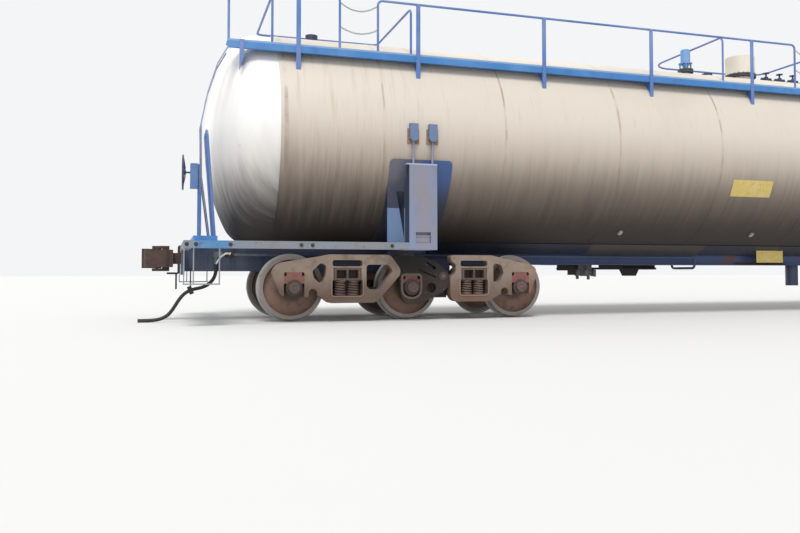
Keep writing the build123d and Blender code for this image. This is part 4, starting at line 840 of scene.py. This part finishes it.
def chain_tree():
    """Oval links along the seeds' line, each turned a quarter from the one before."""
    tree, given = new_tree("chains", Pitch=0.027, Reach=0.017, Wire=0.0028)
    line = add(tree, "GeometryNodeMeshToCurve", {"Mesh": given["Geometry"]})
    inputs = {"Curve": line.outputs[0], "Length": given["Pitch"]}
    spaced = add(tree, "GeometryNodeResampleCurve", inputs, mode="LENGTH")
    tangent = add(tree, "GeometryNodeInputTangent")
    inputs = {"Vector": tangent.outputs[0]}
    ahead = add(tree, "FunctionNodeAlignRotationToVector", inputs, axis="X")
    index = add(tree, "GeometryNodeInputIndex")
    inputs = {0: index.outputs[0], 1: math.pi / 2}
    angle = add(tree, "ShaderNodeMath", inputs, operation="MULTIPLY")
    inputs = {"Axis": LENGTHWISE, "Angle": angle.outputs[0]}
    quarter = add(tree, "FunctionNodeAxisAngleToRotation", inputs)
    inputs = {"Rotation": ahead.outputs[0], "Rotate By": quarter.outputs[0]}
    facing = add(tree, "FunctionNodeRotateRotation", inputs, rotation_space="LOCAL")
    inputs = {"Resolution": 8, "Radius": given["Reach"]}
    circle = add(tree, "GeometryNodeCurvePrimitiveCircle", inputs)
    inputs = {"Geometry": circle.outputs[0], "Scale": (1, LINK_OVAL, 1)}
    oval = add(tree, "GeometryNodeTransform", inputs)
    inputs = {"Resolution": 4, "Radius": given["Wire"]}
    wire = add(tree, "GeometryNodeCurvePrimitiveCircle", inputs)
    return stand(tree, given, [wound(tree, oval, wire)], spaced.outputs[0], facing)


def grow(name, tree, seeds, finish, body, slot, replaces=(), edges=(), **sizes):
    """Run a tree on seeds, each (place, facing, size), and keep the plain mesh."""
    mesh = bpy.data.meshes.new(name)
    mesh.from_pydata([seed[0] for seed in seeds], edges, [])
    for label, item in (("out", 1), ("size", 2)):
        field = mesh.attributes.new(label, "FLOAT_VECTOR", "POINT")
        for spot, seed in zip(field.data, seeds):
            spot.vector = seed[item]
    piece = bpy.data.objects.new(name, mesh)
    scene.collection.objects.link(piece)
    modifier = piece.modifiers.new("grow", "NODES")
    modifier.node_group = tree
    chosen = dict(sizes, Finish=finish)
    for item in tree.interface.items_tree:
        if item.in_out == "INPUT" and item.name in chosen:
            modifier[item.identifier] = chosen[item.name]
    grown = piece.evaluated_get(bpy.context.evaluated_depsgraph_get())
    plain = bpy.data.meshes.new_from_object(grown)
    piece.modifiers.remove(modifier)
    piece.data = plain
    settle(piece, body, replaces)


bolts = bolt_tree()
WHOLE = (1, 1, 1)

# Camera
YAW, PITCH, ROLL = 0.31214, 0.03777, -0.00088
EYE = (-10.32546, -12.13575, 0.69967)


def photo_camera():
    """Camera that stands where the photograph was taken, with its lens fitted to it."""
    data = bpy.data.cameras.new("camera")
    data.lens = 35.85
    data.sensor_width = 36.0
    data.shift_x = -0.02713
    data.shift_y = -0.03055
    forward = Vector((math.sin(YAW), math.cos(YAW), 0))
    right = Vector((math.cos(YAW), -math.sin(YAW), 0))
    ahead = forward * math.cos(PITCH) + Vector((0, 0, math.sin(PITCH)))
    up = Vector((0, 0, math.cos(PITCH))) - forward * math.sin(PITCH)
    tilted_right = right * math.cos(ROLL) + up * math.sin(ROLL)
    tilted_up = up * math.cos(ROLL) - right * math.sin(ROLL)
    camera = bpy.data.objects.new("camera", data)
    scene.collection.objects.link(camera)
    turn = Matrix((tilted_right, tilted_up, -ahead)).transposed()
    camera.matrix_world = Matrix.Translation(EYE) @ turn.to_4x4()
    return camera


scene.camera = photo_camera()

# Air hoses, which hang from their angle cocks through a clamp and lie free from there
COCK_X, HOSE_Y = 9.618, 0.33
HOSE_R = 0.025
# Route in side view: how far out from the angle cock, and how high
HOSE_STEPS = (
    (0, 0.8201),
    (0, 0.685),
    (0.061, 0.565),
    (0.170, 0.486),
    (0.357, 0.453),
    (0.480, 0.367),
    (0.617, 0.129),
    (0.721, 0.053),
    (0.848, 0.026),
    (0.948, 0.026),
)
for end, way in ENDS:
    route = [(way * (COCK_X + out), way * HOSE_Y, z) for out, z in HOSE_STEPS]
    curve = bpy.data.curves.new(f"air_hose_tube_{end}", "CURVE")
    curve.dimensions = "3D"
    curve.bevel_depth = HOSE_R
    curve.bevel_resolution = 6
    curve.use_fill_caps = True
    spline = curve.splines.new("NURBS")
    spline.points.add(len(route) - 1)
    for point, place in zip(spline.points, route):
        point.co = (*place, 1)
    spline.order_u = 3
    spline.use_endpoint_u = True
    spline.resolution_u = 8
    curve.materials.append(rubber)
    hose = bpy.data.objects.new(f"air_hose_tube_{end}", curve)
    scene.collection.objects.link(hose)
    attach(hose, "car")
    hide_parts(f"air_hose_{end}")

# Coil springs: four nests in each window of a truck's sides, and a slim one amid them
WINDOW_X = 0.9605
SPRING_ROWS = (1.0, 0.835)
SPRING_PITCH = 0.19
SPRING_WIRE = 0.0135
SLIM = (0.5, 0.5, 1)
nest = spring_tree()
for end, way in ENDS:
    foot = SPRING_LOW + SPRING_WIRE
    seeds = []
    for window in (-WINDOW_X, WINDOW_X):
        x = way * TRUCK_X + window
        for side in SIDES:
            for row in SPRING_ROWS:
                for step in (-SPRING_PITCH / 2, SPRING_PITCH / 2):
                    seeds.append(((x + step, side * row, foot), UP, WHOLE))
            seeds.append(((x, side * sum(SPRING_ROWS) / 2, foot), UP, SLIM))
    grow(
        f"coil_springs_{end}",
        nest,
        seeds,
        springs,
        f"truck_{end}",
        "spring_steel",
        [f"springs_{end}"],
        OuterWire=SPRING_WIRE,
        Height=SPRING_HIGH - SPRING_LOW - 2 * SPRING_WIRE,
    )

# Bolts of the axle caps: a low plug in the middle of each cap and three bolts round it
CAP_BOLT_R = 0.05
CAP_WASHER = 0.022
PLUG = (1.3, 1.3, 0.6)
for end, way in ENDS:
    for number, step in ((1, AXLE_STEP), (2, 0), (3, -AXLE_STEP)):
        seeds = []
        for side in SIDES:
            cap = Vector((way * (TRUCK_X + step), side * CAP_Y, AXLE_Z))
            seeds.append((cap, SIDEWAYS * side, PLUG))
            for at in ring(cap, LENGTHWISE, UP, CAP_BOLT_R, 3, math.pi / 2):
                seeds.append((at, SIDEWAYS * side, WHOLE))
        name, body = f"cap_bolts_{number}_{end}", f"wheelset_{end}{number}"
        grow(name, bolts, seeds, cap_steel, body, "fitting_metal", Washer=CAP_WASHER)

# Painted shade in the arms' cast grooves: thin dark sheets, so that they read as deep
GROOVE_X, GROOVE_Z, GROOVE_FLOOR_Y = 0.24, 0.6804, 1.0085
GROOVE_HALF, GROOVE_WIDE, GROOVE_TILT = 0.14, 0.022, math.radians(-22)
SHADE_SHEET_THICK = 0.004
for end, way in ENDS:
    groove = Shape()
    lean, rise = math.cos(GROOVE_TILT), math.sin(GROOVE_TILT)
    for side in SIDES:
        outline = []
        for a, b in ((-1, -1), (1, -1), (1, 1), (-1, 1)):
            half, b = GROOVE_HALF * a, GROOVE_WIDE / 2 * b
            x, z = GROOVE_X + half * lean - b * rise, GROOVE_Z + half * rise + b * lean
            outline.append((way * (TRUCK_X - x), z))
        groove.side_plate(outline, side * (GROOVE_FLOOR_Y + SHADE_SHEET_THICK / 2), SHADE_SHEET_THICK)
    groove.done(f"arm_groove_shade_{end}", soot, f"truck_{end}", "cast_steel")

# Bolts along the side sills
SILL_BOLT_XS = (10.06, 9.947, 9.516, 8.6, 8.45, 7.35)
seeds = []
for side in SIDES:
    for end, way in ENDS:
        for x in SILL_BOLT_XS:
            seeds.append(((way * x, side * FRAME_SIDE, FRAME_Z), SIDEWAYS * side, WHOLE))
grow("sill_bolts", bolts, seeds, dark, "car", "fitting_metal")

# Columns: plates with a rolled lip in their pockets, and pads and blocks of the tie rods.
# For each, half its length, its back and face sideways, and its bottom and top; the blocks
# are drawn longer than in the CAD, with their face just behind its face
POCKET = (0.104, 1.543, 1.575, 1.1094, 1.1944)
PAD = (0.085, 1.545, 1.577, 2.49, 2.705)
BLOCK = (0.06, 1.545, BLOCK_SIDE - 0.001, 2.55, 2.77)
LIP_HALF, LIP_R, LIP_Y, LIP_Z = 0.104, 0.014, 1.572, 1.1994
ROD_STEP = 0.14


def put(shape, x, side, sizes):
    """Box on the side of a column, at a place along the car."""
    half, back, face, low, high = sizes
    shape.box((x - half, side * back, low), (x + half, side * face, high))


pockets, pads, blocks = Shape(), Shape(), Shape()
for side in SIDES:
    for end, way in ENDS:
        x = way * TRUCK_X
        put(pockets, x, side, POCKET)
        lip = [(x + half, side * LIP_Y, LIP_Z) for half in (-LIP_HALF, LIP_HALF)]
        pockets.tube(lip, LIP_R, 10)
        for rod in (x - ROD_STEP, x + ROD_STEP):
            put(pads, rod, side, PAD)
            put(blocks, rod, side, BLOCK)
pockets.done("pocket_plates", column, "car", "blue_paint")
pads.done("tie_rod_pads", pad_steel, "car", "fitting_metal")
blocks.done("tie_rod_blocks", rods, "car", "blue_paint")

# Bands round the jacket; the one beside each head is nearly twice as wide
HEAD_BAND_X, HALFWAY_BAND_X = JACKET_END - 0.07, 3.72
BAND_XS = (HEAD_BAND_X, 7.45, 5.62, HALFWAY_BAND_X, 1.86)
BAND_PROUD, BAND_THICK = 0.003, 0.02
seeds = []
for x in (0.0, *BAND_XS, *(-x for x in BAND_XS)):
    wide = 1.8 if abs(x) == HEAD_BAND_X else 1.0
    seeds.append(((x, 0, TANK_Z), LENGTHWISE, (1, 1, wide)))
grow(
    "jacket_bands",
    band_tree(),
    seeds,
    band,
    "car",
    "jacket_paint",
    Radius=JACKET_R + BAND_PROUD - BAND_THICK / 2,
    Thick=BAND_THICK,
)

# Rivets of five of the bands, from low on the near side over the crown to the far side
RIVETS, RIVET_START, RIVET_ARC = 60, -85, 350
RIVET_R = JACKET_R + 0.002
seeds = []
for x in (-HEAD_BAND_X, -HALFWAY_BAND_X, 0.0, HALFWAY_BAND_X, HEAD_BAND_X):
    for i in range(RIVETS):
        angle = math.radians(RIVET_START + i * RIVET_ARC / RIVETS)
        out = Vector((0, -math.cos(angle), math.sin(angle)))
        seeds.append((Vector((x, 0, TANK_Z)) + out * RIVET_R, out, WHOLE))
rivet = dict(Sides=8, Radius=0.009, Crown=0.005, Tall=0.005, Washer=0.009, Plate=0.001)
grow("band_rivets", bolts, seeds, band, "car", "jacket_paint", **rivet)

# Blank signs: one on the jacket, and one that hangs from the cradle strip before the sill
signs = Shape()
signs.laid(x_low=-1.6, x_high=-0.82, start=-27.6, stop=-17.4, thick=0.003)
signs.box(corner=(-0.22, -0.377, 0.866), opposite=(0.36, -0.373, 1.09))
signs.done("blank_placards", sign, "car", "fitting_metal")

# Cradle strips, which close the gap between the centre sill and the belly
CRADLE_Y = 0.5
CRADLE_END_X = TRUCK_X - 0.5
belly_z = TANK_Z - math.sqrt(JACKET_R**2 - CRADLE_Y**2)
strips = Shape()
for side in SIDES:
    outline = [
        (side * SILL_SIDE, CRADLE_FOOT),
        (side * CRADLE_Y, belly_z - 0.013),
        (side * (CRADLE_Y - 0.008), belly_z - 0.006),
        (side * SILL_SIDE, CRADLE_FOOT + 0.012),
    ]
    strips.long_bar(outline, -CRADLE_END_X, CRADLE_END_X)
strips.done("cradle_strips", cradle, "car", "navy_paint")

# Small lugs low on the jacket
LUG_XS = (-3.32, -0.75, 0.75, 3.32)
LUG_HALF, LUG_TALL = 0.03, 0.03
lugs = Shape()
for turns in ((-58, -55), (-125, -122)):
    for x in LUG_XS:
        lugs.laid(x - LUG_HALF, x + LUG_HALF, *turns, LUG_TALL, steps=1)
lugs.done("belly_lugs", lug_grey, "car", "jacket_paint")

# Brake rigging that hangs in line under the centre sill: hangers, a lever and their rod
RIG_TOP = SILL_UNDER - 0.002
RIG_HALF = 0.015
RIG_START, RIG_STOP = -4.0, -2.05
HANGERS = ((RIG_START, -3.8, 0.726), (-3.8, -3.62, 0.65), (-3.2, -2.75, 0.741))
LEVER_Y = 0.06
LEVER = ((-2.7, 0.632), (-2.44, 0.632), (-2.38, 0.741), (RIG_STOP, 0.741))
ROD_Y, ROD_Z, ROD_R = 0.02, 0.76, 0.018
rigging = Shape()
for x_low, x_high, low in HANGERS:
    rigging.box((x_low, -RIG_HALF, low), (x_high, RIG_HALF, RIG_TOP))
outline = [(-2.8, RIG_TOP), *LEVER, (RIG_STOP, RIG_TOP)]
rigging.side_plate(outline, LEVER_Y, 2 * RIG_HALF)
rigging.tube([(x, ROD_Y, ROD_Z) for x in (RIG_START, RIG_STOP)], ROD_R)
rigging.done("brake_rigging", soot, "car", "fitting_metal")

# Retainer valve under the sill: a lumpy casting with flanges and two pipe stubs
RETAINER_X = -3.5
BODY = ((0, 0.06), (0.02, 0.085), (0.11, 0.085), (0.16, 0.06))
PORT = ((0, 0.045), (0.02, 0.07), (0.06, 0.07), (0.08, 0.045), (0.34, 0.045))
COVER = ((0, 0.075), (0.03, 0.075), (0.04, 0.04), (0.07, 0.04))
FRONT = ((0, 0.03), (0.01, 0.05), (0.03, 0.05), (0.06, 0.04), (0.2, 0.04))
STUB = ((0, 0.014), (0.005, 0.026), (0.06, 0.026), (0.13, 0.026))
retainer = Shape()
for place, axis, profile, sides in (
    ((RETAINER_X, 0, 0.63), UP, BODY, 14),
    ((RETAINER_X - 0.17, 0, 0.7), LENGTHWISE, PORT, 12),
    ((RETAINER_X + 0.15, 0, 0.7), LENGTHWISE, COVER, 12),
    ((RETAINER_X, -0.13, 0.7), SIDEWAYS, FRONT, 12),
    ((RETAINER_X - 0.12, 0, 0.58), UP, STUB, 10),
    ((RETAINER_X + 0.09, 0, 0.57), UP, STUB, 10),
):
    retainer.turned(place, axis, profile, sides)
retainer.box((RETAINER_X - 0.13, -0.05, 0.74), (RETAINER_X + 0.13, 0.05, RIG_TOP))
retainer.box((RETAINER_X + 0.2, -0.02, 0.62), (RETAINER_X + 0.23, 0.02, 0.74))
retainer.done("retainer_valve", valve_iron, "car", "fitting_metal")

# Bolts of the flanges on the crown, each set upright from above and from below. For the
# manway, the safety valve and the well: middle, bolt circle, count, underside and top of
# the flange over the crown, and size of the bolts
FLANGES = (
    (-0.195, 0.252, 20, 0.05, 0.112, 0.7),
    (-1.39, 0.118, 12, 0.065, 0.129, 0.6),
    (-0.93, 0.075, 8, 0.0, 0.085, 0.55),
)
seeds = []
for x, radius, count, low, high, size in FLANGES:
    crown = Vector((x, 0, CROWN_Z))
    for at in ring(crown, LENGTHWISE, SIDEWAYS, radius, count, math.pi / count):
        seeds.append((at + UP * high, UP, (size, size, size)))
        seeds.append((at + UP * low, -UP, (size, size, size)))
grow("crown_bolts", bolts, seeds, dark, "car", "fitting_metal", Washer=0.02)

# Hand brake wheel: five spokes dished from hub to rim
RIM_CENTRE = Vector((-10.07, middle("hand_brake_wheel", Y), middle("hand_brake_wheel", Z)))
RIM_R, RIM_WIRE, RIM_STEPS, WIRE_SIDES = 0.267, 0.0125, 48, 8
# How far from the centre a spoke's points are, and how far they lie behind the rim
SPOKE_R, SPOKE = 0.01, ((0.02, 0.03), (0.08, 0.032), (0.16, 0.02), (0.262, 0.0))
HUB = ((-0.004, 0.02), (0, 0.033), (0.046, 0.036), (0.046, 0.014), (0.156, 0.014))
brake = Shape()
circles = []
for reach, sunk in SPOKE:
    behind = RIM_CENTRE + LENGTHWISE * sunk
    circles.append(ring(behind, SIDEWAYS, UP, reach, 5, math.pi / 2))
for spoke in zip(*circles):
    brake.tube(spoke, SPOKE_R)
brake.turned(RIM_CENTRE, LENGTHWISE, HUB, 20)
# The rim closes on itself, so its last faces end on its first points
points, faces = [], []
for at in ring(RIM_CENTRE, SIDEWAYS, UP, RIM_R, RIM_STEPS):
    out = (at - RIM_CENTRE).normalized()
    points += ring(at, out, LENGTHWISE, RIM_WIRE, WIRE_SIDES)
for i in range(0, len(points), WIRE_SIDES):
    for k in range(WIRE_SIDES):
        a, b = i + k, i + (k + 1) % WIRE_SIDES
        faces.append((a, b, (b + WIRE_SIDES) % len(points), (a + WIRE_SIDES) % len(points)))
brake.solid(points, faces)
brake.done("brake_wheel", navy, "car", "navy_paint", ["hand_brake_wheel"])

# Angle cocks: an upright plug in a level body, and a handle bent down over the hose.
# A handle's points are outward, sideways and up from the middle of its cock
COCK_BODY_X, COCK_Z, HANDLE_R = 9.44, 0.9554, 0.013
HANDLE = (
    (0, 0.03, 0.0),
    (-0.02, 0.045, 0.018),
    (0.05, 0.05, 0.014),
    (0.12, 0.05, -0.035),
    (0.165, 0.05, -0.1),
    (0.185, 0.05, -0.135),
)
PLUG_CASE = ((-0.05, 0.02), (-0.04, 0.038), (0.03, 0.04), (0.05, 0.022))
BARREL = ((-0.07, 0.03), (-0.06, 0.04), (-0.04, 0.04), (-0.035, 0.03), (0.06, 0.034), (0.08, 0.03))
for end, way in ENDS:
    plug = Vector((way * COCK_BODY_X, way * HOSE_Y, COCK_Z))
    handle = Shape()
    handle.tube([plug + Vector((way * dx, way * dy, dz)) for dx, dy, dz in HANDLE], HANDLE_R)
    handle.done(f"cock_handle_{end}", worn_white, "car", "fitting_metal")
    cock = Shape()
    cock.turned(plug, UP, PLUG_CASE, 16)
    cock.turned(plug, LENGTHWISE * way, BARREL, 12)
    cock.done(f"cock_body_{end}", dark, "car", "fitting_metal")

# Gate chains: two across each gate in the handrail, given as height and sag
GATE_STARTS = (-8.03, -0.16, 7.48)
GATE_WIDE = 0.55
CHAIN_Y, CHAIN_INSET = -1.31, 0.02
CHAINS = ((4.46, 0.09), (4.12, 0.07))
SAG_STEPS = 12
seeds, edges = [], []
for start in GATE_STARTS:
    for top, sag in CHAINS:
        for i in range(SAG_STEPS + 1):
            share = i / SAG_STEPS
            if i:
                edges.append((len(seeds) - 1, len(seeds)))
            x = start + CHAIN_INSET + (GATE_WIDE - 2 * CHAIN_INSET) * share
            z = top - sag * 4 * share * (1 - share)
            seeds.append(((x, CHAIN_Y, z), LENGTHWISE, WHOLE))
grow("gate_chains", chain_tree(), seeds, dark, "car", "fitting_metal", edges=edges)

# Floor
FLOOR = 150
floor_mesh = bpy.data.meshes.new("floor")
corners = [(-FLOOR, -FLOOR, 0), (FLOOR, -FLOOR, 0), (FLOOR, FLOOR, 0), (-FLOOR, FLOOR, 0)]
floor_mesh.from_pydata(corners, [], [(0, 1, 2, 3)])
floor = bpy.data.objects.new("floor", floor_mesh)
scene.collection.objects.link(floor)
floor_mesh.materials.append(Finish("pale studio floor", "#e4e3e0", 0.9).done())

# The world lights softly, and is near white where the camera or a reflection sees it
world = bpy.data.worlds.new("studio")
scene.world = world
world.use_nodes = True
tree = world.node_tree
tree.nodes.clear()
lit = add(tree, "ShaderNodeBackground", {"Color": linear("#f2f4f8"), "Strength": 0.55})
seen = add(tree, "ShaderNodeBackground", {"Color": linear("#f4f5f7"), "Strength": 1.0})
path = add(tree, "ShaderNodeLightPath").outputs
ray = path["Is Camera Ray"]
for other in ("Is Glossy Ray", "Is Transmission Ray"):
    ray = add(tree, "ShaderNodeMath", {0: ray, 1: path[other]}, operation="MAXIMUM").outputs[0]
mix = add(tree, "ShaderNodeMixShader", {0: ray, 1: lit.outputs[0], 2: seen.outputs[0]})
add(tree, "ShaderNodeOutputWorld", {0: mix.outputs[0]})

# Soft suns: strength, spread in degrees, and the way the light goes
SUNS = {
    "key": (2.2, 25, (0.25, 0.75, -1.25)),
    "fill": (0.7, 60, (0.6, -0.9, -0.5)),
    "front": (0.6, 60, (0.4, 1.0, -0.15)),
}
for name, (strength, spread, aim) in SUNS.items():
    lamp = bpy.data.lights.new(name, "SUN")
    lamp.energy = strength
    lamp.angle = math.radians(spread)
    holder = bpy.data.objects.new(name, lamp)
    scene.collection.objects.link(holder)
    holder.rotation_mode = "QUATERNION"
    holder.rotation_quaternion = Vector(aim).to_track_quat("-Z", "Y")

scene.view_settings.view_transform = "Standard"
